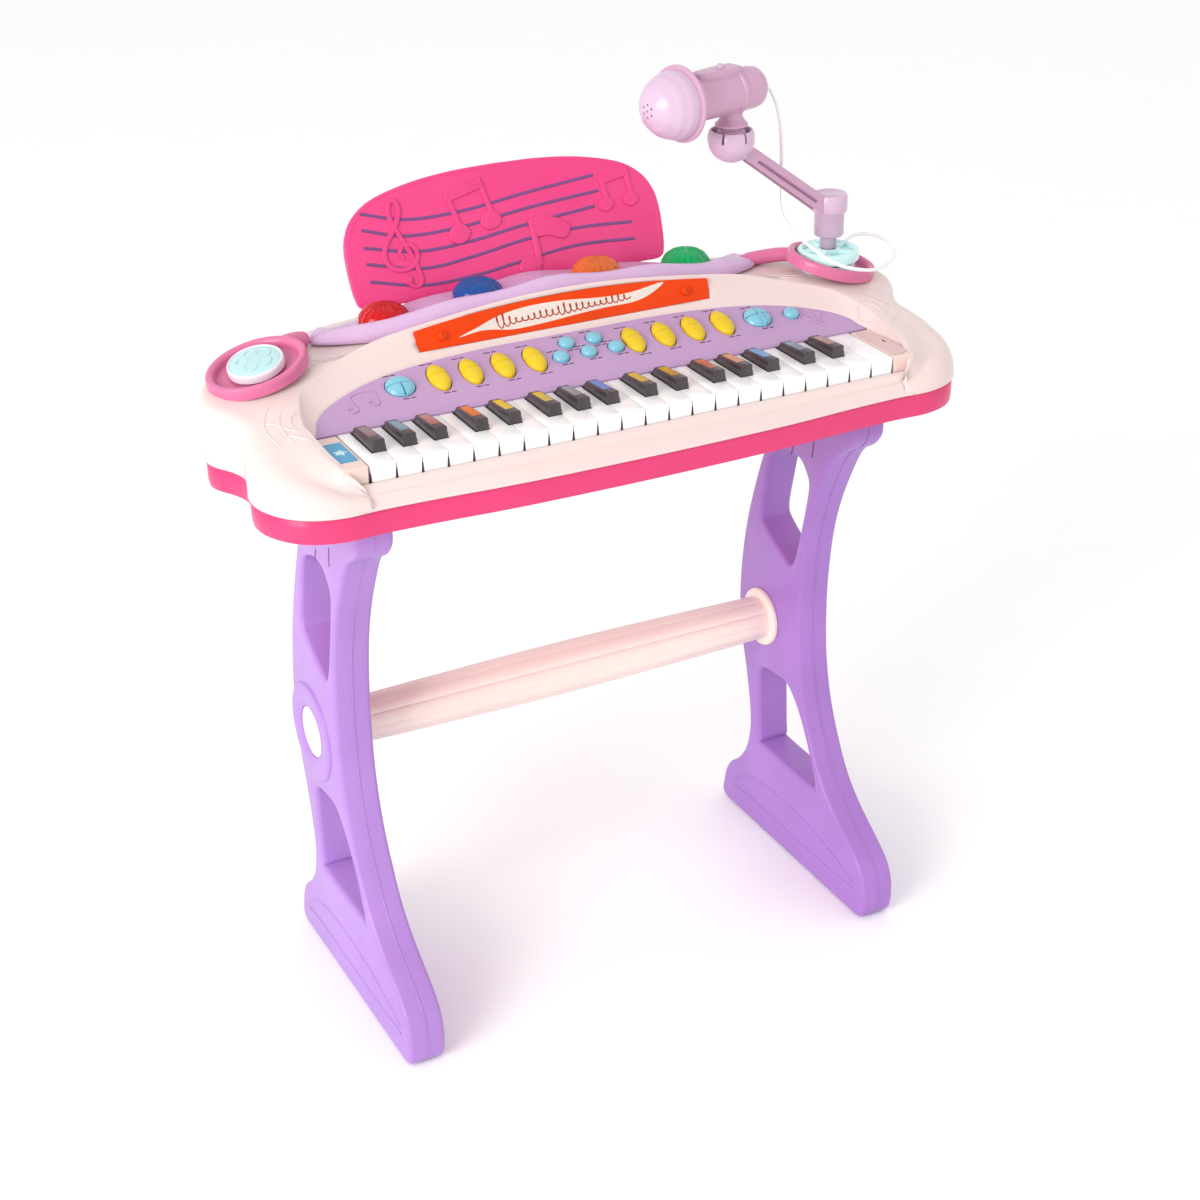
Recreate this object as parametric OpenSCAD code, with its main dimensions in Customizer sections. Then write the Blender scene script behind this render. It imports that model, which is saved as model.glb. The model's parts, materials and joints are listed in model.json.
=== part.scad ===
// Toy electronic keyboard on two legs, with a music stand and a microphone on an arm.
// +X runs to the player's right along the keys, +Y to the back, +Z up.
// The origin is on the floor, under the middle of the object's box.

/* [Casing] */
// Width of the casing across its two rear lobes
casing_w = 516; // [500:2:530]
// Height of the underside of the tray above the floor
tray_bottom = 398.5; // [390:0.5:405]
// Height of the pink tray's side band
tray_h = 16; // [14:0.5:20]
// Wall thickness of the casing shells
wall = 3; // [2.5:0.5:4]
// How far the tray's side stands in from the side of the upper shell
tray_inset = 1.6; // [0.5:0.1:2.5]

/* [Keys] */
// Distance from one white key to the next
key_pitch = 17.2; // [16.8:0.1:17.4]
// Number of white keys, from F up to F
white_count = 22; // [15:7:22]
// Gap between two white keys
key_gap = 0.5; // [0.4:0.1:0.8]
// Width of a black key at its foot
black_w = 9.2; // [8.4:0.2:9.4]

/* [Panel and rail] */
// Slope of the control panel, as rise over run
panel_slope = 0.34; // [0.3:0.01:0.38]
// Radius of the four light domes on the rear rail
dome_r = 17.5; // [16:0.5:19]
// Thickness of the music stand plate
stand_t = 4; // [3:0.5:5]

/* [Legs] */
// Distance from the middle of the object to the outer face of a leg
leg_out = 197; // [190:1:200]
// Thickness of a leg
leg_t = 27; // [24:1:30]
// Radius of the crossbar in its middle
bar_r = 19; // [17:0.5:20]

/* [Microphone] */
// Angle that the arm points towards the player, in degrees
arm_turn = 9; // [0:1:20]
// Radius of the flange round the microphone's grille
flange_r = 25.4; // [23:0.2:27]
// Diameter of the microphone cord
cord_d = 2.6; // [2:0.1:3]

/* [Hidden] */
seam = tray_bottom + tray_h;
eps = 0.01;
fit = 0.2;

// Key bed
key_top = 440;
key_bottom = 428;
key_front = -100;
panel_front = -46;
white_w = key_pitch - key_gap;
keys_half = white_count * key_pitch / 2;
bay_half = keys_half + 0.6;
bed_half = 206.5;
hinge_y = -24;
hinge_z = 431;
hinge_r = 2;
hinge_clear = 0.05;
boss_r = 4.6;
black_front = -82;
black_top = 447.6;
black_top_rear = 445.2;
black_rear = -49;
// Places of the black keys in an octave that starts on F, and how far each leans off its joint
octave = 7;
black_after = [0, 1, 2, 4, 5];
black_lean = [-3.6, 0, 3.6, 0, -2.8, 2.8, 0];
// White joints with no black key, where the tray's ribs hold the hinge bar
rib_after = [3, 6];
rib_t = 2.4;
rib_gap = 2;

function is_in(v, list) = len([for (e = list) if (e == v) e]) > 0;
function joint_x(i) = (i + 1) * key_pitch - keys_half;
function has_black(i) = i >= 0 && i < white_count - 1 && is_in(i % octave, black_after);
function has_rib(i) = i >= 0 && i < white_count - 1 && is_in(i % octave, rib_after);
function black_x(i) = joint_x(i) + black_lean[i % octave];
black_joints = [for (i = [0:white_count - 2]) if (has_black(i)) i];

// Panel plane and the arch round it
panel_t = 2.6;
panel_angle = atan(panel_slope);
function panel_z(y) = key_top + 1 + panel_slope * (y - panel_front);
ledge = 0.9;
button_gap = 0.4;
button_rise = 3.5;
flange_t = 1.2;
flange_w = 0.8;
button_y = -14.4;
lemon_x = [37, 60, 83, 106];
lemon_l = 28;
lemon_w = 14.5;
round_x = 133.5;
round_r = 10;
small_r = 5.6;
small_spots = [[-8.7, -4.9], [11.6, -5.1], [-18.9, -17.1], [2, -16.9], [22.2, -17.2], [159, -18.5]];

// Ridge with the window, and the rail behind it
window_slope = 63.3;
window_foot = [6.8, 463];
window_half = 111.5;
window_h = 13;
window_arch = 7;
lens_t = 2;
ridge_back = 26;
ridge_wall = 5;
deck_z = 466;
rail_half = 168;
rail_back = 75;
dome_spots = [[-115, 53, 472], [-45, 55, 476], [45, 55, 476], [115, 53, 472]];
dome_h = 12;

function ridge_z(x) = 471 + 14.5 * pow(max(0, cos(90 * min(1, abs(x) / 172))), 1.5);
function rail_z(x) = ridge_z(x) + 2.5 + 2.6 * cos(360 * x / 80) * cos(90 * min(1, abs(x) / rail_half));

// Corner rings, the disc and the microphone base
ring_at = [215.5, 21];
ring_z = 466;
ring_tilt_out = 14;
ring_tilt_front = 7;
ring_rx = 34;
ring_ry = 28.6;
ring_hole = [28, 24];
ring_h = 7.8;
disc_r = 18.8;
disc_travel = 2;

// Legs
bar_y = 28;
bar_z = 191;
cap_r = 18.8;
boss_ring_r = 40;
leg_in = leg_out - leg_t;

// Microphone
post_x = 213.5;
post_y = 21;
base_top = 479;
arm_reach = 91;
ball_z = 569;
ball_r = 12;
cup_r = 16;
mic_z = 605;
mic_turn = 5;
mic_nose = 76.5;
mic_tail = 23.5;
mic_r = 14.5;

// ---------- shared helpers ----------

// Extrudes a [y, z] outline along X, centred on the middle
module along_x(length) {
    rotate([90, 0, 90])
        linear_extrude(length, center = true)
            children();
}

// Extrudes an [x, z] outline along Y, from y0 to y1
module along_y(y0, y1) {
    translate([0, y1, 0])
        rotate([90, 0, 0])
            linear_extrude(y1 - y0)
                children();
}

// A point between b and c on a smooth curve through a, b, c and d
function between(a, b, c, d, t) =
    0.5 * ((2 * b) + (c - a) * t + (2 * a - 5 * b + 4 * c - d) * t * t
           + (3 * b - a - 3 * c + d) * t * t * t);
function closed_curve(p, steps) =
    let (n = len(p))
    [for (i = [0:n - 1], k = [0:steps - 1])
        between(p[(i - 1 + n) % n], p[i], p[(i + 1) % n], p[(i + 2) % n], k / steps)];
function open_curve(p, steps) =
    let (n = len(p), q = concat([2 * p[0] - p[1]], p, [2 * p[n - 1] - p[n - 2]]))
    concat([for (i = [1:n - 1], k = [0:steps - 1])
        between(q[i - 1], q[i], q[i + 1], q[i + 2], k / steps)], [p[n - 1]]);
// A half outline at x >= 0, from its front to its back, with its mirror image
function mirrored(half) =
    concat(half, [for (i = [len(half) - 2:-1:1]) [-half[i][0], half[i][1]]]);
// Moves each point of a counter-clockwise outline inwards by d
function inset(p, d) =
    let (n = len(p))
    [for (i = [0:n - 1])
        let (t = p[(i + 1) % n] - p[(i - 1 + n) % n])
        p[i] - d * [t[1], -t[0]] / norm(t)];
function ellipse(rx, ry, n) = [for (k = [0:n - 1]) [rx * cos(360 * k / n), ry * sin(360 * k / n)]];

// Places children on the panel plane, with their own Z along its normal
module on_panel(x, y) {
    translate([x, y, panel_z(y)])
        rotate([panel_angle, 0, 0])
            children();
}

// ---------- casing ----------

half_outline = [[0, -119], [90, -117.5], [150, -113.5], [186, -112], [212, -112.5], [232, -106],
                [245, -94], [253, -77], [254, -60], [249, -42], [245.5, -27], [249, -13], [256, 0],
                [258, 12], [253.5, 27], [242, 42], [226, 54], [205, 65], [165, 81], [120, 91],
                [60, 97.5], [0, 100]];
outline = [for (p = closed_curve(mirrored(half_outline), 3)) [p[0] * casing_w / 516, p[1]]];
// Arched rear edge of the control panel
half_arch = [[201, -41], [196, -31], [182, -19], [154, -7], [124, 0], [92, 5], [59, 8], [0, 9]];
full_arch = open_curve(concat(half_arch, [for (i = [len(half_arch) - 2:-1:0])
                                              [-half_arch[i][0], half_arch[i][1]]]), 3);
// The panel's outline, moved inwards by d along its arch
function arch(d) =
    let (n = len(full_arch),
         a = [for (i = [0:n - 1])
                 let (t = full_arch[min(n - 1, i + 1)] - full_arch[max(0, i - 1)])
                 full_arch[i] - d * [t[1], -t[0]] / norm(t)])
    concat([[a[0][0], panel_front]], a, [[a[n - 1][0], panel_front]]);

module outline_prism(d, z0, z1) {
    translate([0, 0, z0])
        linear_extrude(z1 - z0)
            polygon(inset(outline, d));
}

module shoulder_profile() {
    polygon([[-125, seam], [-119, seam + 4], [-115, 425], [-109, 432], [-99, 439], [-86, 443],
             [-60, 447], [-30, 454], [0, 461], [18, deck_z], [110, deck_z], [110, seam]]);
}

module ridge(d) {
    slope = [cos(window_slope), sin(window_slope)];
    foot = window_foot + d * [slope[1], -slope[0]];
    rise = min(30, 0.95 * (ridge_back - d - foot[0]) / slope[0]);
    intersection() {
        along_x(2 * (172 - d))
            polygon([foot - 8 * slope, foot + rise * slope, [ridge_back - d, 495],
                     [ridge_back - d, foot[1] - 8]]);
        along_y(0, 40)
            polygon(concat([[-175, 440]],
                           [for (x = [-175:5:175]) [x, ridge_z(x) - d]],
                           [[175, 440]]));
    }
}

// Hollow of the upper shell, kept below the key bed and the panel
module shell_hollow() {
    y_arch = 10;
    intersection() {
        outline_prism(wall, seam - 1, 500);
        along_x(casing_w)
            polygon([[-117, seam - 1], [-115, seam + 3], [-104, 424], [key_front, 424],
                     [key_front, 436.5], [panel_front + 2, 436.5], [y_arch, panel_z(y_arch) - panel_t - wall],
                     [20, deck_z - wall], [110, deck_z - wall], [110, seam - 1]]);
    }
    ridge(ridge_wall);
}

// Shape of the window opening, as seen from the front
module window_shape(d) {
    top = window_foot[1] + window_h;
    polygon(concat([[109 - d, window_foot[1] + d]],
                   [for (k = [12:-1:-12])
                       let (x = k / 12 * (window_half - d))
                       [x, top - d + window_arch * (1 - pow(k / 12, 2))]],
                   [[d - 109, window_foot[1] + d]]));
}

module ring_frame(side) {
    translate([side * ring_at[0], ring_at[1], ring_z])
        rotate([ring_tilt_front, side * ring_tilt_out, 0])
            children();
}

// Seat that carries a corner ring, level with the ring's underside
module ring_seat(side) {
    intersection() {
        outline_prism(1, seam, 500);
        ring_frame(side)
            translate([0, 0, -16])
                linear_extrude(15.2)
                    polygon(ellipse(ring_rx + 2, ring_ry + 2, 48));
    }
}

module top_shell() {
    socket_r = 23;
    color("mistyrose")
        difference() {
            union() {
                intersection() {
                    outline_prism(0, seam, 500);
                    along_x(casing_w + 20)
                        shoulder_profile();
                }
                ridge(0);
                for (side = [-1, 1])
                    ring_seat(side);
                // bosses that the closing screws bite into
                for (p = closing_spots)
                    translate([p[0], p[1], boss_top])
                        cylinder(r = 3.6, h = seam + 12 - boss_top, $fn = 32);
            }
            difference() {
                shell_hollow();
                for (side = [-1, 1])
                    ring_frame(side)
                        translate([-70, -70, -7])
                            cube([140, 140, 60]);
                for (p = closing_spots)
                    translate([p[0], p[1], boss_top])
                        cylinder(r = 4, h = 80, $fn = 32);
                stand_slab(stand_t + 4, 2, -1);
            }
            // the lobes slope with the rings
            for (side = [-1, 1])
                ring_frame(side)
                    translate([-60, -52, -1.5])
                        cube([120, 110, 60]);
            for (p = closing_spots)
                translate([p[0], p[1], boss_top - 1])
                    cylinder(r = 1.4, h = 12, $fn = 32);
            // key bed, with an end block on each side of the keys
            translate([-bed_half, -140, key_top])
                cube([2 * bed_half, 140 + panel_front, 60]);
            along_x(2 * 197)
                polygon([[-130, seam + 0.5], [-119, seam + 0.5], [-104.5, key_bottom - 0.5],
                         [-99, key_bottom - 0.5], [-99, 500], [-130, 500]]);
            translate([-bay_half, key_front - 0.8, seam - 1])
                cube([2 * bay_half, panel_front - key_front + 1, 60]);
            // seat of the control panel, and the way through below it
            intersection() {
                translate([0, 0, seam])
                    linear_extrude(90)
                        polygon(arch(-fit));
                along_x(2 * bed_half)
                    polygon([[panel_front - 1, panel_z(panel_front - 1) - panel_t],
                             [12, panel_z(12) - panel_t], [12, 500], [panel_front - 1, 500]]);
            }
            translate([0, 0, seam - 1])
                linear_extrude(60)
                    polygon(arch(ledge));
            // seat of the window, and the opening behind it
            window_plate(0, -1);
            along_y(0, ridge_back - ridge_wall)
                intersection() {
                    window_shape(3);
                    square([168, 1200], center = true);
                }
            for (side = [-1, 1])
                window_screw_at(side)
                    translate([0, 0, -6])
                        cylinder(r = 0.9, h = 8, $fn = 24);
            // sockets under the two corner rings
            for (side = [-1, 1])
                ring_frame(side)
                    translate([0, 0, -40])
                        cylinder(r = socket_r, h = 60, $fn = 64);
            // slots of the music stand
            stand_slab(stand_t + 2 * fit, fit, -1);
            for (p = dome_spots)
                translate([p[0], p[1], deck_z - wall - 1])
                    cylinder(r = 3, h = wall + 2, $fn = 32);
        }
}

// ---------- tray ----------

leg_tongue = [12, 60, 11];
closing_spots = [[-222, -88], [-75, -104], [75, -104], [222, -88], [-170, 66], [170, 66]];
boss_top = tray_bottom + 8;
head_depth = 4;
battery_box = [96, 58];
battery_at = [0, 40];
speaker_at = [120, 40];
speaker_r = 28;

module hinge_bar(r) {
    translate([0, hinge_y, hinge_z])
        rotate([0, 90, 0])
            cylinder(r = r, h = 2 * keys_half + 8, center = true, $fn = 40);
}

module hinge_rib(x) {
    translate([x - rib_t / 2, hinge_y - boss_r, tray_bottom + 1])
        cube([rib_t, 2 * boss_r, hinge_z + 3.4 - tray_bottom - 1]);
}

module bottom_tray() {
    rib_x = concat([-keys_half - rib_t, keys_half + rib_t],
                   [for (i = [0:white_count - 2]) if (has_rib(i)) joint_x(i)]);
    color("deeppink") {
        difference() {
            union() {
                difference() {
                    outline_prism(tray_inset, tray_bottom, seam);
                    outline_prism(wall + tray_inset, tray_bottom + wall, seam + 1);
                }
                for (p = closing_spots)
                    translate([p[0], p[1], tray_bottom])
                        cylinder(r = 5, h = boss_top - tray_bottom, $fn = 32);
            }
            for (p = closing_spots)
                translate([p[0], p[1], tray_bottom - 1]) {
                    cylinder(r = 3, h = head_depth + 1, $fn = 32);
                    cylinder(r = 1.6, h = 20, $fn = 32);
                }
            for (side = [-1, 1])
                leg_tongue_box(side, fit);
            translate([battery_at[0] - battery_box[0] / 2, battery_at[1] - battery_box[1] / 2,
                       tray_bottom - 1])
                cube([battery_box[0], battery_box[1], wall + 2]);
            for (k = [-3:3])
                translate([speaker_at[0] + 6 * k - 1.2, speaker_at[1] - sqrt(400 - 36 * k * k),
                           tray_bottom - 1])
                    cube([2.4, 2 * sqrt(400 - 36 * k * k), wall + 2]);
        }
        for (x = rib_x)
            hinge_rib(x);
        hinge_bar(hinge_r);
        // posts that carry the two circuit boards
        for (x = [-170, -60, 60, 170], y = [-88, -50])
            translate([x, y, tray_bottom + 1])
                cylinder(r = 3, h = 11, $fn = 32);
        for (x = [-105, 60], y = [2, 64])
            translate([x, y, tray_bottom + 1])
                cylinder(r = 3, h = 27, $fn = 32);
        // walls of the battery box
        translate([battery_at[0], battery_at[1], tray_bottom])
            difference() {
                translate([-battery_box[0] / 2 - 2, -battery_box[1] / 2 - 2, 0])
                    cube([battery_box[0] + 4, battery_box[1] + 4, 22]);
                translate([-battery_box[0] / 2, -battery_box[1] / 2, -1])
                    cube([battery_box[0], battery_box[1], 21]);
            }
    }
}

module leg_tongue_box(side, gap) {
    translate([side * (leg_out - leg_t / 2) - leg_tongue[0] / 2 - gap,
               -36 - leg_tongue[1] / 2 - gap, tray_bottom - 4])
        cube([leg_tongue[0] + 2 * gap, leg_tongue[1] + 2 * gap, leg_tongue[2] + 4]);
}

module battery_door() {
    grip_l = 30;
    color("hotpink")
        translate([battery_at[0], battery_at[1], tray_bottom])
            difference() {
                translate([-battery_box[0] / 2 + fit, -battery_box[1] / 2 + fit, 0.3])
                    cube([battery_box[0] - 2 * fit, battery_box[1] - 2 * fit, 2.4]);
                for (k = [0:2])
                    translate([-grip_l / 2, -battery_box[1] / 2 + 6 + 4 * k, -1])
                        cube([grip_l, 2, 2]);
            }
}

// ---------- keys ----------

module key_hinge_boss(x0, x1) {
    translate([x0, hinge_y, hinge_z])
        rotate([0, 90, 0])
            cylinder(r = boss_r, h = x1 - x0, $fn = 40);
}

module white_key(i) {
    x0 = i * key_pitch - keys_half + key_gap / 2;
    x1 = x0 + white_w;
    notch = black_w / 2 + 0.7;
    t0 = has_black(i - 1) ? black_x(i - 1) + notch : (has_rib(i - 1) || i == 0) ? x0 + rib_gap : x0;
    t1 = has_black(i) ? black_x(i) - notch : (has_rib(i) || i == white_count - 1) ? x1 - rib_gap : x1;
    n0 = has_black(i - 1) ? t0 : x0;
    n1 = has_black(i) ? t1 : x1;
    notch_y = black_front - 0.8;
    color("ivory")
        difference() {
            union() {
                translate([x0, key_front, key_bottom])
                    cube([white_w, notch_y - key_front, key_top - key_bottom]);
                translate([n0, notch_y - eps, key_bottom])
                    cube([n1 - n0, panel_front - 0.6 - notch_y, key_top - key_bottom]);
                translate([t0, panel_front - 0.7, key_bottom])
                    cube([t1 - t0, hinge_y - panel_front + 0.7, 5.4]);
                key_hinge_boss(t0, t1);
            }
            hinge_bar(hinge_r + hinge_clear);
        }
}

module black_key(i) {
    x = black_x(i);
    tail_w = 7.6;
    top_w = 8.2;
    color("#262224")
        difference() {
            union() {
                intersection() {
                    along_y(black_front, black_rear)
                        polygon([[x - black_w / 2, key_bottom + 2], [x + black_w / 2, key_bottom + 2],
                                 [x + black_w / 2, key_top + 1.4], [x + top_w / 2, black_top],
                                 [x - top_w / 2, black_top], [x - black_w / 2, key_top + 1.4]]);
                    along_x(2 * keys_half)
                        polygon([[black_front, key_bottom], [black_front, key_top + 1.4],
                                 [black_front + 0.8, black_top], [black_rear - 1, black_top_rear],
                                 [black_rear, key_top + 3], [black_rear, key_bottom]]);
                }
                translate([x - tail_w / 2, black_rear - 0.5, key_bottom + 2])
                    cube([tail_w, hinge_y - black_rear + 0.5, 4.4]);
                key_hinge_boss(x - tail_w / 2, x + tail_w / 2);
            }
            hinge_bar(hinge_r + hinge_clear);
        }
}

// ---------- control panel ----------

module lemon(d) {
    r = (lemon_l * lemon_l + lemon_w * lemon_w) / (4 * lemon_w) + d;
    off = r - d - lemon_w / 2;
    intersection() {
        translate([-off, 0, 0])
            circle(r = r, $fn = 96);
        translate([off, 0, 0])
            circle(r = r, $fn = 96);
        square([lemon_w + 2 * d, lemon_l - 2 + 2 * d], center = true);
    }
}

module each_lemon() {
    for (side = [-1, 1], x = lemon_x)
        on_panel(side * x, button_y)
            children();
}

module control_panel() {
    color("plum")
        difference() {
            intersection() {
                translate([0, 0, seam])
                    linear_extrude(90)
                        polygon(arch(0));
                along_x(2 * bed_half)
                    polygon([[panel_front, panel_z(panel_front) - panel_t + 0.05],
                             [12, panel_z(12) - panel_t + 0.05],
                             [12, panel_z(12)], [panel_front, panel_z(panel_front)]]);
            }
            each_lemon()
                translate([0, 0, -8])
                    linear_extrude(16)
                        lemon(button_gap);
            for (side = [-1, 1])
                on_panel(side * round_x, button_y - 1)
                    cylinder(r = round_r + button_gap, h = 16, center = true, $fn = 64);
            for (p = small_spots)
                on_panel(p[0], p[1])
                    cylinder(r = small_r + button_gap, h = 16, center = true, $fn = 48);
        }
}

module yellow_buttons() {
    color("gold")
        each_lemon() {
            translate([0, 0, -panel_t - 1.5])
                linear_extrude(panel_t + 1.5 + button_rise)
                    lemon(0);
            translate([0, 0, -panel_t - 1.5 - flange_t])
                linear_extrude(flange_t)
                    lemon(flange_w);
        }
}

// One round button, with a cut between its segments
module round_button(r, cuts) {
    depth = panel_t + 1.5;
    difference() {
        union() {
            translate([0, 0, -depth])
                cylinder(r = r, h = depth + button_rise, $fn = 64);
            translate([0, 0, -depth - flange_t])
                cylinder(r = r + flange_w, h = flange_t, $fn = 64);
        }
        for (a = cuts)
            rotate([0, 0, a])
                translate([0, -0.35, 0.5])
                    cube([r + 2, 0.7, button_rise + 1]);
    }
}

module blue_buttons() {
    color("skyblue") {
        on_panel(-round_x, button_y - 1)
            round_button(round_r, [0, 180, 270]);
        on_panel(round_x, button_y - 1)
            round_button(round_r, [0, 90, 180, 270]);
        for (p = small_spots)
            on_panel(p[0], p[1])
                round_button(small_r, []);
    }
}

// ---------- window, rail and domes ----------

lens_recess = 0.8;
screw_spot = [91.4, 469];

// The window's plate from depth d0 behind the ridge's face to the lens's back; d0 < 0 opens it
module window_plate(gap, d0) {
    slope = [cos(window_slope), sin(window_slope)];
    normal = [slope[1], -slope[0]];
    face = window_foot + (d0 < 0 ? -10 : d0) * normal;
    back = window_foot + (lens_recess + lens_t) * normal;
    intersection() {
        along_y(-10, ridge_back)
            window_shape(gap);
        along_x(2 * window_half + 4)
            polygon([face - 4 * slope, face + 40 * slope, back + 40 * slope, back - 4 * slope]);
    }
}

// Frame of a window screw: Z out of the lens's face
module window_screw_at(side) {
    rise = (screw_spot[1] - window_foot[1]) / tan(window_slope);
    translate([side * screw_spot[0], window_foot[0] + rise + lens_recess / sin(window_slope), screw_spot[1]])
        rotate([window_slope, 0, 0])
            children();
}

module window_lens() {
    color("orangered")
        difference() {
            window_plate(0.1, lens_recess);
            for (side = [-1, 1])
                window_screw_at(side)
                    cylinder(r = 1, h = 12, center = true, $fn = 24);
        }
}

rail_plan = [[0, ridge_back + 0.1], [120, ridge_back + 1], [152, ridge_back + 6], [rail_half - 4, 37],
             [rail_half, 45], [rail_half - 3, 57], [rail_half - 14, 67], [110, rail_back], [0, rail_back + 3]];

module rear_rail() {
    color("plum")
        difference() {
            intersection() {
                translate([0, 0, deck_z])
                    linear_extrude(60)
                        polygon(closed_curve(mirrored(rail_plan), 3));
                along_y(0, 90)
                    polygon(concat([[-180, 400]],
                                   [for (x = [-180:4:180]) [x, rail_z(x)]],
                                   [[180, 400]]));
            }
            for (p = dome_spots)
                translate([p[0], p[1], deck_z - 1])
                    cylinder(r = dome_r + 0.3, h = 60, $fn = 64);
        }
}

module light_domes() {
    ball = (dome_r * dome_r + dome_h * dome_h) / (2 * dome_h);
    color("crimson")
        for (p = dome_spots)
            translate([p[0], p[1], p[2]]) {
                intersection() {
                    translate([0, 0, dome_h - ball])
                        sphere(r = ball, $fn = 64);
                    cylinder(r = dome_r + 1, h = dome_h + 1, $fn = 64);
                }
                translate([0, 0, deck_z - p[2]])
                    cylinder(r = dome_r, h = p[2] - deck_z, $fn = 64);
            }
}

// ---------- corner rings ----------

ear_spots = [[-27, 18, 10.5], [-38, 26, 7.5]];

module one_ring(side) {
    ring_frame(side)
        difference() {
            intersection() {
                union() {
                    linear_extrude(30, center = true)
                        polygon(ellipse(ring_rx, ring_ry, 72));
                    for (e = ear_spots)
                        translate([side * e[0], e[1], -15])
                            cylinder(r = e[2], h = 30, $fn = 40);
                }
                translate([0, 0, ring_h / 2 - 1.5])
                    cube([120, 120, ring_h], center = true);
            }
            linear_extrude(40, center = true)
                polygon(ellipse(ring_hole[0], ring_hole[1], 72));
        }
    // cup that sits in the shell's socket and carries the disc or the base
    ring_frame(side)
        difference() {
            translate([0, 0, -14])
                cylinder(r = 22.6, h = 12.5, $fn = 64);
            translate([0, 0, -12])
                cylinder(r = 20, h = 20, $fn = 64);
        }
    ring_frame(side)
        difference() {
            translate([0, 0, -1.5])
                linear_extrude(1.1)
                    polygon(ellipse(ring_hole[0] + 1, ring_hole[1] + 1, 72));
            cylinder(r = 20, h = 20, center = true, $fn = 64);
        }
}

module corner_rings() {
    color("hotpink")
        for (side = [-1, 1])
            difference() {
                one_ring(side);
                translate([-rail_half - 2, 20, 400])
                    cube([2 * rail_half + 4, 60, 100]);
            }
}

module effect_disc() {
    color("aquamarine")
        ring_frame(-1) {
            translate([0, 0, disc_travel + 0.2])
                cylinder(r = disc_r, h = 5, $fn = 64);
            translate([0, 0, -7])
                cylinder(r = 12, h = 9.5, $fn = 48);
        }
}

// ---------- music stand ----------

stand_foot = [86.6, 456];
stand_lean = 21.6;
stand_half = [[0, 11.8], [100, 11.8], [118, 13.5], [121, 30], [121, 54], [117, 67], [102, 82], [65, 92.5],
              [30, 96], [0, 96.5]];
tab_at = 62;
tab_w = 44;

// The stand's plate, thickness t; low = -1 gives only its two tabs, grown by g all round
module stand_slab(t, g, low) {
    translate([0, stand_foot[0], stand_foot[1]])
        rotate([90 - stand_lean, 0, 0])
            translate([0, 0, -t / 2])
                linear_extrude(t)
                    if (low < 0)
                        for (side = [-1, 1])
                            translate([side * tab_at - tab_w / 2 - g, -g])
                                square([tab_w + 2 * g, 14 + 2 * g]);
                    else
                        stand_shape();
}

module stand_shape() {
    half = open_curve(stand_half, 3);
    polygon(concat(half, [for (i = [len(half) - 2:-1:1]) [-half[i][0], half[i][1]]]));
    for (side = [-1, 1])
        translate([side * tab_at - tab_w / 2, 0.3])
            square([tab_w, 12]);
}

module music_stand() {
    color("hotpink")
        stand_slab(stand_t, 0, 1);
}

// ---------- legs and crossbar ----------

leg_front = [[-84, 398.5], [-84, 376], [-77, 367], [-64, 360], [-54, 345], [-38, 310], [-28, 279],
             [-22, 238], [-21.5, 205], [-24, 175], [-32, 140], [-47, 110], [-66, 84], [-90, 62],
             [-112, 48], [-122, 34], [-124, 18], [-122, 0]];
leg_rear = [[86, 0], [83, 20], [77, 34], [62, 46], [50, 64], [45, 84], [46, 103], [52, 131],
            [60, 160], [64, 190], [62, 225], [55, 263], [45, 295], [34, 324], [22, 352],
            [14, 380], [12, 398.5]];
upper_window = [[-26, 330], [-29, 320], [-24, 297], [-14, 256], [-6, 250], [32, 270], [34, 280],
                [24, 318], [17, 330], [0, 337], [-16, 337]];
lower_window = [[20, 146], [-6, 149], [-24, 134], [-38, 111], [-51, 84], [-47, 79], [24, 78],
                [28, 84], [30, 108], [31, 134]];

leg_outline = concat(open_curve(leg_front, 3), open_curve(leg_rear, 3));
leg_wall = 3;

module leg(side) {
    mid = side * (leg_out - leg_t / 2);
    color("mediumpurple")
        difference() {
            union() {
                translate([mid, 0, 0])
                    along_x(leg_t)
                        polygon(leg_outline);
                translate([side * leg_out, bar_y, bar_z])
                    rotate([0, 90, 0])
                        cylinder(r = boss_ring_r, h = 2, center = true, $fn = 96);
                leg_tongue_box(side, 0);
            }
            translate([mid, 0, 0])
                along_x(leg_t + 8)
                    polygon(closed_curve(upper_window, 2));
            translate([mid, 0, 0])
                along_x(leg_t + 8)
                    polygon(closed_curve(lower_window, 2));
            translate([mid, bar_y, bar_z])
                rotate([0, 90, 0])
                    cylinder(r = cap_r + 0.1, h = leg_t + 8, center = true, $fn = 72);
            // the leg is a hollow moulding
            translate([mid, 0, 0])
                along_x(leg_t - 2 * leg_wall)
                    difference() {
                        polygon(inset(leg_outline, leg_wall));
                        polygon(inset(closed_curve(upper_window, 2), -leg_wall));
                        polygon(inset(closed_curve(lower_window, 2), -leg_wall));
                        translate([bar_y, bar_z])
                            circle(r = cap_r + leg_wall, $fn = 72);
                    }
        }
}

module crossbar() {
    flange = 22.5;
    half = leg_in - 0.1;
    end_r = 16;
    bore = 13;
    color("peachpuff")
        translate([0, bar_y, bar_z])
            rotate([0, 90, 0]) {
                rotate_extrude($fn = 72)
                    polygon([[bore, -half], [end_r, -half], [end_r + 1, -half * 0.6], [bar_r, 0],
                             [end_r + 1, half * 0.6], [end_r, half], [bore, half]]);
                for (side = [-1, 1]) {
                    translate([0, 0, side * (half - 2)])
                        cylinder(r = flange, h = 4, center = true, $fn = 72);
                    translate([0, 0, side * (half + leg_t / 2)])
                        cylinder(r = cap_r, h = leg_t + 1, center = true, $fn = 72);
                }
            }
}

// ---------- microphone ----------

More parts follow.
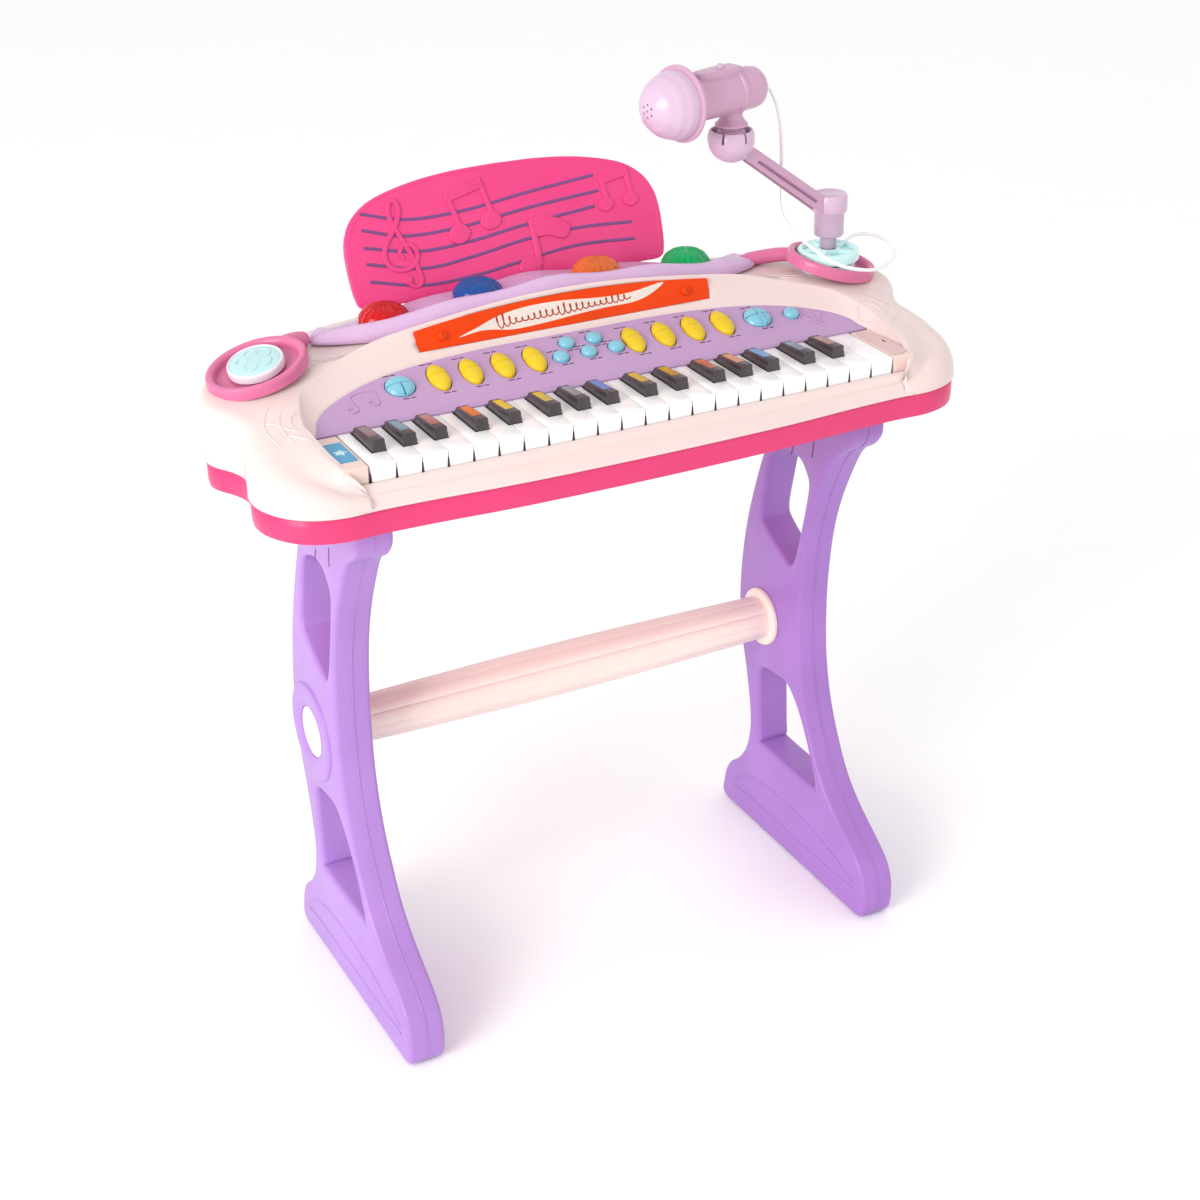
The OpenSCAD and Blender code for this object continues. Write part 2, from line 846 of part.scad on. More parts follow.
module mic_base() {
    color("aquamarine")
        difference() {
            union() {
                translate([post_x, post_y, base_top - 7])
                    cylinder(r = 22, h = 7, $fn = 72);
                ring_frame(1)
                    translate([0, 0, -12])
                        cylinder(r = 19.6, h = 14, $fn = 64);
            }
            translate([post_x, post_y, base_top - 16])
                cylinder(r = 5.2 + 0.05, h = 30, $fn = 48);
            // recess between the hub and the rim, crossed by four spokes
            difference() {
                translate([post_x, post_y, base_top - 3])
                    cylinder(r = 17.5, h = 10, $fn = 64);
                translate([post_x, post_y, base_top - 4])
                    cylinder(r = 8.5, h = 12, $fn = 48);
                for (a = [0:72:359])
                    translate([post_x, post_y, base_top - 4])
                        rotate([0, 0, a])
                            translate([0, -2, 0])
                                cube([19, 4, 12]);
            }
        }
}

// The arm's own frame: X from the post towards the ball, turned a little to the player
module arm_frame() {
    translate([post_x, post_y, 0])
        rotate([0, 0, 180 + arm_turn])
            children();
}

module mic_arm() {
    cap_top = 517.5;
    cap_bottom = 506;
    rise = ball_z - 10 - 508;
    color("#e3b7dd") {
        difference() {
            union() {
                arm_frame() {
                    translate([0, 0, cap_bottom])
                        cylinder(r = 12.6, h = cap_top - cap_bottom, $fn = 64);
                    translate([0, 0, 489])
                        cylinder(r = 10.6, h = cap_bottom - 489, $fn = 64);
                    translate([0, 0, base_top + 0.3])
                        cylinder(r = 5.8, h = 489 - base_top - 0.3, $fn = 48);
                    translate([0, 0, base_top - 10])
                        cylinder(r = 5.2, h = 12, $fn = 48);
                    translate([0, 7, 0])
                        rotate([90, 0, 0])
                            linear_extrude(14)
                                polygon([[4, 499], [8, 512], [arm_reach - 8, 508 + rise + 6],
                                         [arm_reach - 4, 508 + rise - 9]]);
                    translate([arm_reach, 0, ball_z])
                        sphere(r = cup_r, $fn = 64);
                }
            }
            arm_frame() {
                // the arm is a channel, open below
                translate([0, 4.5, 0])
                    rotate([90, 0, 0])
                        linear_extrude(9)
                            polygon([[14, 497], [18, 510.5], [arm_reach - 14, 508 + rise - 2],
                                     [arm_reach - 14, 508 + rise - 20]]);
                translate([arm_reach, 0, ball_z])
                    sphere(r = ball_r + 0.3, $fn = 64);
                translate([arm_reach - 30, -30, ball_z + 5.5])
                    cube([60, 60, 30]);
                for (a = [30:60:359])
                    translate([arm_reach, 0, ball_z - 1])
                        rotate([0, 0, a])
                            translate([0, -0.8, 0])
                                cube([30, 1.6, 20]);
            }
        }
    }
}

// The microphone's own frame: origin on its axis above the ball, X towards the grille
module mic_frame() {
    arm_frame()
        translate([arm_reach, 0, mic_z])
            rotate([0, 0, mic_turn])
                children();
}

module turned(profile) {
    rotate([0, 90, 0])
        rotate_extrude($fn = 72)
            polygon(profile);
}

module mic_body() {
    grille_x = mic_nose - 29;
    nose = open_curve([[flange_r - 1.5, grille_x + 2], [23.5, grille_x + 9], [20, grille_x + 17],
                       [14, grille_x + 23.5], [6, grille_x + 28], [0, mic_nose]], 3);
    color("#dcaed6") {
        difference() {
            union() {
                mic_frame()
                    turned(concat([[0, -mic_tail], [9, -mic_tail], [mic_r - 2, -mic_tail + 2],
                                   [mic_r, -mic_tail + 6], [mic_r, -4], [mic_r + 1.2, -4], [mic_r + 1.2, -1],
                                   [mic_r, -1], [mic_r, grille_x - 6], [flange_r, grille_x - 1],
                                   [flange_r, grille_x + 2]], nose));
                // raised top ridge
                mic_frame()
                    translate([-12, -6, 8])
                        cube([32, 12, mic_r - 8 + 3.4]);
                // neck and ball
                arm_frame() {
                    translate([arm_reach, 0, ball_z])
                        sphere(r = ball_r, $fn = 64);
                    translate([arm_reach, 0, ball_z + 6])
                        cylinder(r = 8, h = mic_z - ball_z - 14, $fn = 48);
                }
            }
            // seat of the switch
            mic_frame()
                translate([12, 0, mic_r + 2.5])
                    cube([10, 7, 4], center = true);
            // sound holes
            mic_frame()
                for (k = [0:6])
                    translate([mic_nose - 7, k == 0 ? 0 : 4 * cos(60 * k), k == 0 ? 0 : 4 * sin(60 * k)])
                        rotate([0, 90, 0])
                            cylinder(r = 0.7, h = 12, $fn = 16);
            // mouth of the cord
            mic_frame()
                translate([-mic_tail - 1, 0, 0])
                    rotate([0, 90, 0])
                        cylinder(r = cord_d / 2 + 0.4, h = 6, $fn = 32);
        }
    }
}

module mic_switch() {
    color("#e9c3e6")
        mic_frame()
            translate([11, 0, mic_r + 2.8]) {
                translate([-1.6, -3.2, -2])
                    cube([3.2, 6.4, 2.2]);
                cylinder(r = 2.6, h = 3, $fn = 32);
            }
}

// Route of the cord, from the microphone's tail down past the post, round and back to the base
cord_route = [[144.5, 12, 605], [151, 13.6, 604.8], [158, 15.6, 601], [165, 18.8, 591], [171, 22.5, 578], [175, 26, 563],
              [177, 28, 548], [176.5, 28.5, 533], [175.5, 27.5, 519], [175, 23, 509], [177, 14, 501],
              [180.5, 5, 495], [185, -4, 489.5], [191, -11.5, 483.5], [201, -16.5, 478], [214, -17, 473.5],
              [229, -13, 469.5], [244, -4.5, 467], [258, 6, 466.5], [268.5, 17, 468], [272, 29, 471],
              [266, 38, 475], [254, 40, 477.5], [243, 37.5, 477.5], [230.5, 30.5, 475.5]];

function ring_points(path, i, sides) =
    let (n = len(path),
         t = path[min(n - 1, i + 1)] - path[max(0, i - 1)],
         d = t / norm(t),
         u = cross(d, abs(d[2]) > 0.9 ? [1, 0, 0] : [0, 0, 1]),
         a = u / norm(u),
         b = cross(d, a))
    [for (k = [0:sides - 1]) path[i] + cord_d / 2 * (cos(360 * k / sides) * a + sin(360 * k / sides) * b)];

module tube(path, sides) {
    n = len(path);
    points = [for (i = [0:n - 1], p = ring_points(path, i, sides)) p];
    sides_faces = [for (i = [0:n - 2], k = [0:sides - 1])
        let (j = (k + 1) % sides)
        [i * sides + k, (i + 1) * sides + k, (i + 1) * sides + j, i * sides + j]];
    polyhedron(points, concat([[for (k = [0:sides - 1]) k]],
                              sides_faces,
                              [[for (k = [sides - 1:-1:0]) (n - 1) * sides + k]]));
}

module mic_cord() {
    color("white")
        tube(open_curve(cord_route, 3), 8);
}

// ---------- inside ----------

module circuit_boards() {
    front_z = tray_bottom + 12;
    main_z = tray_bottom + 28;
    color("seagreen") {
        translate([-182, -95, front_z])
            cube([364, 52, 1.6]);
        translate([-120, -4, main_z])
            cube([200, 72, 1.6]);
        translate([-70, 14, main_z + 1.6])
            cube([30, 22, 4]);
        translate([-10, 20, main_z + 1.6])
            cube([18, 12, 3]);
        // one rubber contact under each white key
        for (i = [0:white_count - 1])
            translate([(i + 0.5) * key_pitch - keys_half, -90, front_z + 1.6])
                cylinder(r = 4, h = 4, $fn = 32);
    }
}

module speaker() {
    color("dimgray")
        translate([speaker_at[0], speaker_at[1], tray_bottom + wall])
            rotate_extrude($fn = 72)
                polygon([[0, 3], [10, 3], [24, 7], [24, 0], [speaker_r, 0], [speaker_r, 4], [25, 8],
                         [14, 12], [14, 24], [0, 24]]);
}

module screw(len, r) {
    cylinder(r = r, h = 1.6, $fn = 32);
    translate([0, 0, -len])
        cylinder(r = r / 2, h = len, $fn = 24);
}

module screws() {
    color("dimgray") {
        // two small screws through the window
        for (side = [-1, 1])
            window_screw_at(side)
                screw(4, 1.6);
        // screws that close the tray from below
        for (p = closing_spots)
            translate([p[0], p[1], tray_bottom + head_depth])
                rotate([180, 0, 0])
                    screw(11, 2.6);
    }
}

// ---------- assembly ----------

top_shell();
bottom_tray();
control_panel();
window_lens();
rear_rail();
corner_rings();
music_stand();
light_domes();
effect_disc();
yellow_buttons();
blue_buttons();
leg(-1);  // left_leg
leg(1);  // right_leg
crossbar();
mic_base();
mic_arm();
mic_body();
mic_switch();
mic_cord();
circuit_boards();
speaker();
screws();
battery_door();
for (i = [0:white_count - 1])
    white_key(i);
for (k = [0:len(black_joints) - 1])
    black_key(black_joints[k]);
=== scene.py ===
import json
from math import atan, copysign, cos, exp, pi, radians, sin

import bmesh
import bpy
from mathutils import Matrix, Vector
from mathutils.bvhtree import BVHTree
from mathutils.geometry import tessellate_polygon


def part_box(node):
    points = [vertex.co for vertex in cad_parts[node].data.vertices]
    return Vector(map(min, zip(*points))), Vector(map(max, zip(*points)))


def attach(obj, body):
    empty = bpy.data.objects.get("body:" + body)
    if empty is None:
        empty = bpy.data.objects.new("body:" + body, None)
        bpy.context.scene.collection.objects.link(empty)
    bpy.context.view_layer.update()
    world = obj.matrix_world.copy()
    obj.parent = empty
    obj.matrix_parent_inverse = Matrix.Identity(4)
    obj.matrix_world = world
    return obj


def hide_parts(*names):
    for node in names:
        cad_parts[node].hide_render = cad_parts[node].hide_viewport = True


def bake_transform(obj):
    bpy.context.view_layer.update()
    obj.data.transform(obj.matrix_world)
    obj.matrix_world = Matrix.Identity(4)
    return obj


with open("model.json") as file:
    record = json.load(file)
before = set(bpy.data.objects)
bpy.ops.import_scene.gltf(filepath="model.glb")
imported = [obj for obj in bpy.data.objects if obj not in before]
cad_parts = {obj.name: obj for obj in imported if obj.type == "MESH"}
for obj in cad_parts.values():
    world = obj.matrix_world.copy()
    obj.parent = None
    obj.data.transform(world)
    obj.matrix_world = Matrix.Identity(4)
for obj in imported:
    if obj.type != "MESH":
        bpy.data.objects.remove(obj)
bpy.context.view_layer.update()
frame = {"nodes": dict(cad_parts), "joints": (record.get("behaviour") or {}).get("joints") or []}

# Lengths below are in millimetres; MM turns them into metres.
MM = 0.001
ROOT = "casing"


def box_mm(node):
    low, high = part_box(node)
    return Vector(low) / MM, Vector(high) / MM


def move(x, y, z):
    return Matrix.Translation((x, y, z))


def turned(angle, axis):
    return Matrix.Rotation(angle, 4, axis)


def linked(name, data):
    """A new object in the scene."""
    obj = bpy.data.objects.new(name, data)
    bpy.context.scene.collection.objects.link(obj)
    return obj


# ---------- camera


def make_camera():
    """A long lens in front, to the player's left and above the keys."""
    place = Vector((-620.3, -1250.9, 965.8)) * MM
    right = Vector((0.88817, -0.45933, -0.01315)).normalized()
    forward = Vector((0.40447, 0.79503, -0.45203)).normalized()
    up = right.cross(forward).normalized()
    right = forward.cross(up).normalized()
    data = bpy.data.cameras.new("camera")
    data.sensor_width = 36
    data.lens = 65.96
    data.clip_end = 20
    camera = linked("camera", data)
    turn = Matrix((right, up, -forward)).transposed().to_4x4()
    camera.matrix_world = Matrix.Translation(place) @ turn
    bpy.context.scene.camera = camera


# ---------- materials


# How many noise cells a metre holds: the colour's drift, the gloss's wear and the skin's grain
DRIFT_SCALE = 14
WEAR_SCALE = 60
SKIN_SCALE = 900


def plastic(name, color, rough=0.32, coat=0.25, vary=0.05, grain=0.06, soft=0.0, ior=1.4):
    """Moulded plastic: slow drift of colour and gloss, and a fine skin texture."""
    material = bpy.data.materials.new(name)
    material.use_nodes = True
    nodes, links = material.node_tree.nodes, material.node_tree.links
    shader = nodes["Principled BSDF"]
    shader.inputs["Coat Weight"].default_value = coat
    shader.inputs["Coat Roughness"].default_value = 0.12
    shader.inputs["IOR"].default_value = ior
    if soft:
        shader.inputs["Subsurface Weight"].default_value = soft
        shader.inputs["Subsurface Radius"].default_value = (1.0, 0.6, 0.6)
        shader.inputs["Subsurface Scale"].default_value = 0.004
    place = nodes.new("ShaderNodeTexCoord")

    def noise(scale, detail):
        texture = nodes.new("ShaderNodeTexNoise")
        texture.inputs["Scale"].default_value = scale
        texture.inputs["Detail"].default_value = detail
        links.new(place.outputs["Object"], texture.inputs["Vector"])
        return texture.outputs["Fac"]

    drift = noise(DRIFT_SCALE, 3)
    tone = nodes.new("ShaderNodeValToRGB")
    ramp = tone.color_ramp.elements
    ramp[0].position = 0.3
    ramp[1].position = 0.7
    ramp[0].color = [c * (1 - vary) for c in color] + [1]
    ramp[1].color = [min(1, c * (1 + vary)) for c in color] + [1]
    links.new(drift, tone.inputs["Fac"])
    links.new(tone.outputs["Color"], shader.inputs["Base Color"])
    wear = noise(WEAR_SCALE, 4)
    gloss = nodes.new("ShaderNodeMapRange")
    gloss.inputs["To Min"].default_value = rough * 0.8
    gloss.inputs["To Max"].default_value = rough * 1.25
    links.new(wear, gloss.inputs["Value"])
    links.new(gloss.outputs["Result"], shader.inputs["Roughness"])
    skin = noise(SKIN_SCALE, 2)
    bump = nodes.new("ShaderNodeBump")
    bump.inputs["Strength"].default_value = grain
    bump.inputs["Distance"].default_value = 0.4 * MM
    links.new(skin, bump.inputs["Height"])
    links.new(bump.outputs["Normal"], shader.inputs["Normal"])
    return material


# Name, colour, roughness, coat, drift of colour, grain, light under the skin, and index of refraction
PLASTICS = {
    "cream": ("cream_shell", (0.715, 0.575, 0.555), 0.30, 0.15, 0.010, 0.03, 0.06),
    "peach": ("peach_shell", (0.72, 0.55, 0.50), 0.32, 0.15, 0.02, 0.03, 0.05),
    "pink": ("hot_pink_tray", (0.64, 0.044, 0.155), 0.32, 0.12, 0.03, 0.04, 0.0, 1.3),
    "stand": ("hot_pink_stand", (0.73, 0.050, 0.21), 0.36, 0.1, 0.04, 0.08, 0.0, 1.35),
    "ring": ("pink_ring", (0.62, 0.15, 0.30), 0.28, 0.2, 0.03, 0.03, 0.0, 1.35),
    "lavender": ("lavender_panel", (0.45, 0.275, 0.475), 0.38, 0.08, 0.02, 0.10),
    "rail": ("lavender_rail", (0.58, 0.38, 0.59), 0.28, 0.25, 0.03, 0.04),
    "purple": ("purple_legs", (0.38, 0.205, 0.56), 0.38, 0.12, 0.06, 0.12),
    # A darker copy of the leg purple for the right leg: painted shade.
    "purple_painted_shade": ("purple_right_leg", (0.335, 0.160, 0.50), 0.38, 0.12, 0.06, 0.12),
    # Dark purple for the staves and the leg's scores: painted shade in grooves.
    "groove": ("purple_groove", (0.17, 0.06, 0.20), 0.45, 0.05, 0.05, 0.1),
    "bar": ("peach_crossbar", (0.84, 0.69, 0.63), 0.34, 0.2, 0.03, 0.08),
    "lilac": ("lilac_microphone", (0.53, 0.305, 0.44), 0.34, 0.2, 0.03, 0.06),
    # Painted shade for the dark band along the arm's sides.
    "lilac_painted_shade": ("lilac_shade", (0.27, 0.11, 0.21), 0.4, 0.1, 0.03, 0.06),
    "lilac_pale": ("lilac_dome", (0.57, 0.40, 0.54), 0.28, 0.25, 0.03, 0.04),
    "mint": ("mint", (0.57, 0.85, 0.83), 0.25, 0.3, 0.03, 0.04),
    "mint_disc": ("mint_disc", (0.45, 0.66, 0.69), 0.22, 0.3, 0.06, 0.10, 0.1),
    "white": ("white_keys", (0.88, 0.86, 0.86), 0.24, 0.25, 0.01, 0.02, 0.05),
    "rim": ("white_rim", (0.72, 0.68, 0.73), 0.25, 0.3, 0.02, 0.03),
    "black": ("dark_keys", (0.045, 0.034, 0.038), 0.30, 0.3, 0.15, 0.05),
    "yellow": ("yellow_buttons", (0.68, 0.48, 0.02), 0.26, 0.12, 0.05, 0.04, 0.1, 1.25),
    "blue": ("blue_buttons", (0.19, 0.47, 0.59), 0.24, 0.3, 0.05, 0.03, 0.1),
    # Painted shade on the floors of the blue buttons' slits.
    "blue_slit_shade": ("blue_button_slits", (0.03, 0.12, 0.20), 0.4, 0.1, 0.05, 0.03),
    "lens": ("orange_window", (0.72, 0.050, 0.002), 0.22, 0.05, 0.08, 0.01, 0.0, 1.2),
    # Dark print for the marks; the same colour is painted shade for the inset's slot.
    "ink": ("dark_print", (0.05, 0.03, 0.05), 0.5, 0.0, 0.1, 0.05),
    "scribble": ("red_brown_print", (0.42, 0.045, 0.012), 0.45, 0.0, 0.1, 0.05, 0.0, 1.25),
    "print_white": ("white_print", (0.70, 0.62, 0.56), 0.45, 0.1, 0.06, 0.05),
    "label_blue": ("blue_label", (0.04, 0.24, 0.41), 0.25, 0.1, 0.35, 0.02, 0.0, 1.3),
    "inset": ("pink_inset", (0.64, 0.44, 0.44), 0.3, 0.15, 0.03, 0.05),
    "dome_red": ("dome_red", (0.40, 0.001, 0.003), 0.14, 0.12, 0.25, 0.02, 0.0, 1.3),
    "dome_blue": ("dome_blue", (0.006, 0.055, 0.23), 0.14, 0.12, 0.25, 0.02, 0.0, 1.3),
    "dome_orange": ("dome_orange", (0.66, 0.13, 0.02), 0.14, 0.12, 0.25, 0.02, 0.0, 1.3),
    "dome_green": ("dome_green", (0.001, 0.29, 0.085), 0.14, 0.12, 0.25, 0.02, 0.0, 1.3),
    "cord": ("white_cord", (0.86, 0.84, 0.86), 0.4, 0.1, 0.03, 0.1),
    "board": ("green_board", (0.03, 0.16, 0.07), 0.4, 0.2, 0.2, 0.1),
    "cone": ("speaker_black", (0.02, 0.02, 0.022), 0.6, 0.0, 0.2, 0.3),
    # Painted shade for the deep gaps between the white keys.
    "dark": ("dark_hollow", (0.09, 0.05, 0.06), 0.6, 0.0, 0.1, 0.1),
    "floor": ("pale_floor", (0.94, 0.94, 0.94), 0.6, 0.0, 0.005, 0.0),
    "steel": ("zinc_screw", (0.62, 0.62, 0.64), 0.3, 0.0, 0.1, 0.1),
}


def make_materials():
    made = {key: plastic(*values) for key, values in PLASTICS.items()}
    made["steel"].node_tree.nodes["Principled BSDF"].inputs["Metallic"].default_value = 1.0
    return made


# ---------- mesh helpers


def between(a, b, c, d, t):
    return 0.5 * (
        2 * b + (c - a) * t + (2 * a - 5 * b + 4 * c - d) * t * t + (3 * b - a - 3 * c + d) * t**3
    )


def smooth_line(points, steps, closed=False):
    """A smooth curve through the points, as a list of vectors."""
    p = [Vector(q) for q in points]
    n = len(p)
    if closed:
        return [
            between(p[i - 1], p[i], p[(i + 1) % n], p[(i + 2) % n], k / steps)
            for i in range(n)
            for k in range(steps)
        ]
    q = [2 * p[0] - p[1]] + p + [2 * p[-1] - p[-2]]
    line = [
        between(q[i - 1], q[i], q[i + 1], q[i + 2], k / steps)
        for i in range(1, n)
        for k in range(steps)
    ]
    return line + [p[-1]]


def level_line(points, steps, closed=False, z=0):
    """A smooth curve at one height through plan points."""
    return smooth_line([(*p, z) for p in points], steps, closed)


def flat_line(points, steps, closed=False):
    """A smooth outline through plan points, as (x, y) pairs."""
    return [p.xy[:] for p in level_line(points, steps, closed)]


def angles(n):
    """The angles of n even steps round a circle."""
    return [2 * pi * k / n for k in range(n)]


def shade(mesh, crease):
    mesh.shade_smooth()
    mesh.set_sharp_from_angle(angle=radians(crease))


def make_piece(name, verts, faces, material, matrix=None, crease=35):
    """An object from points in millimetres, placed, scaled to metres and shaded."""
    mesh = bpy.data.meshes.new(name)
    bm = bmesh.new()
    made = [bm.verts.new(Vector(v)) for v in verts]
    for face in faces:
        if len(set(face)) > 2:
            try:
                bm.faces.new([made[i] for i in face])
            except ValueError:
                pass
    bmesh.ops.remove_doubles(bm, verts=bm.verts, dist=0.001)
    bmesh.ops.recalc_face_normals(bm, faces=bm.faces)
    bm.to_mesh(mesh)
    bm.free()
    if matrix is not None:
        mesh.transform(matrix)
    mesh.transform(Matrix.Scale(MM, 4))
    mesh.materials.append(materials[material])
    shade(mesh, crease)
    return linked(name, mesh)


def loft(name, rows, material, matrix=None, close_rows=False, crease=35):
    """A skin over closed rows of points, capped at its ends unless the last row joins the first."""
    n, k = len(rows), len(rows[0])
    verts = [v for row in rows for v in row]
    faces = []
    for i in range(n if close_rows else n - 1):
        a, b = i * k, (i + 1) % n * k
        for j in range(k):
            q = (j + 1) % k
            faces.append([a + j, a + q, b + q, b + j])
    if not close_rows:
        faces.append(list(range(k)))
        faces.append([(n - 1) * k + j for j in range(k)])
    return make_piece(name, verts, faces, material, matrix, crease)


def lathe(name, profile, material, matrix=None, segments=64, crease=35):
    """Turns a profile of (radius, height) points round Z."""
    rows = [[(r * cos(a), r * sin(a), z) for a in angles(segments)] for r, z in profile]
    return loft(name, rows, material, matrix, crease=crease)


def shrink(line, d):
    """Moves a closed outline inwards by d; counter-clockwise outlines shrink, clockwise ones grow."""
    n, moved = len(line), []
    for i in range(n):
        a, b, c = (Vector(line[(i + k) % n][:2]) for k in (-1, 0, 1))
        e, f = (b - a), (c - b)
        if e.length < 1e-6 or f.length < 1e-6:
            e = f = c - a
        e.normalize()
        f.normalize()
        m = Vector((-(e.y + f.y), e.x + f.x))
        if m.length < 1e-6:
            m = Vector((-e.y, e.x))
        m.normalize()
        stretch = min(1.6, 1 / max(0.3, m.dot(Vector((-e.y, e.x)))))
        moved.append(b + m * d * stretch)
    return moved


def area(line):
    return sum(a[0] * b[1] - b[0] * a[1] for a, b in zip(line, line[1:] + line[:1])) / 2


def plate(name, outer, holes, low, high, bevel, material, matrix=None, steps=4, low_bevel=None):
    """A plate with rounded rims between two heights, with holes."""
    low_bevel = bevel if low_bevel is None else low_bevel
    loops = [list(outer) if area(outer) > 0 else list(reversed(outer))]
    loops += [list(h) if area(h) < 0 else list(reversed(h)) for h in holes]
    verts, faces, tops, bottoms = [], [], [], []
    for line in loops:
        turns = [pi / 2 * s / steps for s in range(steps + 1)]
        rims = [(bevel * (1 - sin(t)), high - bevel * (1 - cos(t))) for t in turns]
        rims += [(low_bevel * (1 - cos(t)), low + low_bevel * (1 - sin(t))) for t in turns]
        first = len(verts)
        k = len(line)
        for d, z in rims:
            verts += [(p.x, p.y, z) for p in shrink(line, d)]
        for i in range(len(rims) - 1):
            for j in range(k):
                q = (j + 1) % k
                a, b = first + i * k, first + (i + 1) * k
                faces.append([a + j, b + j, b + q, a + q])
        tops.append((first, k))
        bottoms.append((first + (len(rims) - 1) * k, k))
    for ends in (tops, bottoms):
        rings = [[Vector(verts[a + j]) for j in range(k)] for a, k in ends]
        index = [a + j for a, k in ends for j in range(k)]
        for tri in tessellate_polygon(rings):
            faces.append([index[t] for t in tri])
    piece = make_piece(name, verts, faces, material, matrix)
    piece.modifiers.new("even normals", "WEIGHTED_NORMAL").keep_sharp = True
    return piece


def bar(name, size, bevel, material, matrix=None, steps=3):
    """A rounded block centred on its origin."""
    x, y, z = (s / 2 for s in size)
    outline = [(x, -y), (x, y), (-x, y), (-x, -y)]
    return plate(name, round_corners(outline, bevel * 1.5), [], -z, z, bevel, material, matrix, steps)


def round_corners(line, r, steps=4):
    """Rounds each corner of a closed outline."""
    n, done = len(line), []
    for i in range(n):
        a, b, c = (Vector(line[(i + k) % n][:2]) for k in (-1, 0, 1))
        u, v = (a - b), (c - b)
        cut = min(r, u.length * 0.45, v.length * 0.45)
        p, q = b + u.normalized() * cut, b + v.normalized() * cut
        for s in range(steps + 1):
            t = s / steps
            done.append((1 - t) ** 2 * p + 2 * t * (1 - t) * b + t * t * q)
    return [tuple(p) for p in done]


def circle(x, y, r, n=48):
    return [(x + r * cos(a), y + r * sin(a)) for a in angles(n)]


def tube(name, points, radius, material, matrix=None, sides=8, flat=1.0, closed=False):
    """A round cord or bead along a line; flat squeezes it along Z. radius may be a list."""
    p = [Vector(q) for q in points]
    n = len(p)
    radii = radius if isinstance(radius, list) else [radius] * n
    rows, side = [], None
    for i in range(n):
        a = p[(i - 1) % n] if closed else p[max(0, i - 1)]
        b = p[(i + 1) % n] if closed else p[min(n - 1, i + 1)]
        d = (b - a).normalized()
        if side is None:
            side = d.cross(Vector((0, 0, 1)) if abs(d.z) < 0.9 else Vector((1, 0, 0)))
        side = (side - d * side.dot(d)).normalized()
        rise = side.cross(d).normalized()
        rows.append([p[i] + radii[i] * (cos(t) * side + flat * sin(t) * rise) for t in angles(sides)])
    return loft(name, rows, material, matrix, close_rows=closed, crease=60)


def cut(obj, tool):
    """Takes the tool's shape away from the piece, and removes the tool."""
    m = obj.modifiers.new("cut", "BOOLEAN")
    m.operation = "DIFFERENCE"
    m.solver = "EXACT"
    m.object = tool
    bpy.context.view_layer.update()
    graph = bpy.context.evaluated_depsgraph_get()
    mesh = bpy.data.meshes.new_from_object(obj.evaluated_get(graph))
    obj.modifiers.remove(m)
    material = obj.data.materials[0]
    obj.data = mesh
    mesh.materials.clear()
    mesh.materials.append(material)
    for polygon in mesh.polygons:
        polygon.material_index = 0
    shade(mesh, 35)
    bpy.data.objects.remove(tool)
    return obj


def joined(name, pieces):
    """One object from several that share a body. Each keeps its own material."""
    bm = bmesh.new()
    slots = []
    for piece in pieces:
        material = piece.data.materials[0]
        if material not in slots:
            slots.append(material)
        start = len(bm.faces)
        bm.from_mesh(piece.data)
        bm.faces.ensure_lookup_table()
        for face in bm.faces[start:]:
            face.material_index = slots.index(material)
    mesh = bpy.data.meshes.new(name)
    bm.to_mesh(mesh)
    bm.free()
    for material in slots:
        mesh.materials.append(material)
    mesh.set_sharp_from_angle(angle=radians(40))
    for piece in pieces:
        bpy.data.objects.remove(piece)
    return linked(name, mesh)


def own(obj, body, slot, *nodes):
    """The piece rides on a body and stands for CAD nodes, which are hidden; slot is not used."""
    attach(obj, body)
    if nodes:
        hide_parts(*nodes)
    return obj


# ---------- cord


def make_cord():
    """The microphone's cord, on the same route as its CAD tube."""
    route = [
        (144.5, 12, 605), (151, 13.6, 604.8), (158, 15.6, 601), (165, 18.8, 591),
        (171, 22.5, 578), (175, 26, 563), (177, 28, 548), (176.5, 28.5, 533), (175.5, 27.5, 519),
        (175, 23, 509), (177, 14, 501), (180.5, 5, 495), (185, -4, 489.5),
        (191, -11.5, 483.5), (201, -16.5, 478), (214, -17, 473.5), (229, -13, 469.5),
        (244, -4.5, 467), (258, 6, 466.5), (268.5, 17, 468), (272, 29, 471),
        (266, 38, 475), (254, 40, 477.5), (243, 37.5, 477.5), (230.5, 30.5, 475.5),
    ]
    line = smooth_line(route, 5)
    obj = tube("mic_cord_white", line, CORD_R, "cord", sides=10)
    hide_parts("mic_cord")
    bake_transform(obj)


# ---------- casing

TRAY_LOW = box_mm("bottom_tray")[0].z
SEAM = TRAY_LOW + 16
KEY_TOP = box_mm("white_key_1")[1].z
KEY_FRONT = box_mm("white_key_1")[0].y
KEY_LOW = 428
# The panel's front edge, its rise for each millimetre of depth, and its angle
PANEL_FRONT = -46
PANEL_RISE = 0.34
PANEL_ANGLE = atan(PANEL_RISE)
CORD_R = 1.3
# How far the tray's skin stands out from the casing's outline
BAND_SIDE = -1.2
# How far the visible arm, cup and ball stand above their CAD nodes
ARM_RAISE = 4
ARM_REACH = 91
BALL_R = 10.9
MIC_Z = 605

OUTLINE = [
    (0, -119), (90, -117.5), (150, -113.5), (186, -112), (212, -112.5), (232, -106),
    (245, -94), (253, -77), (254, -60), (249, -42), (245.5, -27), (249, -13), (256, 0),
    (258, 12), (253.5, 27), (242, 42), (226, 54), (205, 65), (165, 81), (120, 91), (60, 97.5), (0, 100),
]

# Inner edge of the bowl round the keys and the panel, from the right front to the middle of the back
BOWL = [
    (198, -101), (205.5, -96), (206.5, -80), (206.5, -62), (205, -48), (201, -41), (196, -31),
    (182, -19.5), (154, -7), (124, 0), (92, 3.6), (59, 5.4), (30, 5.4), (0, 5.2),
]
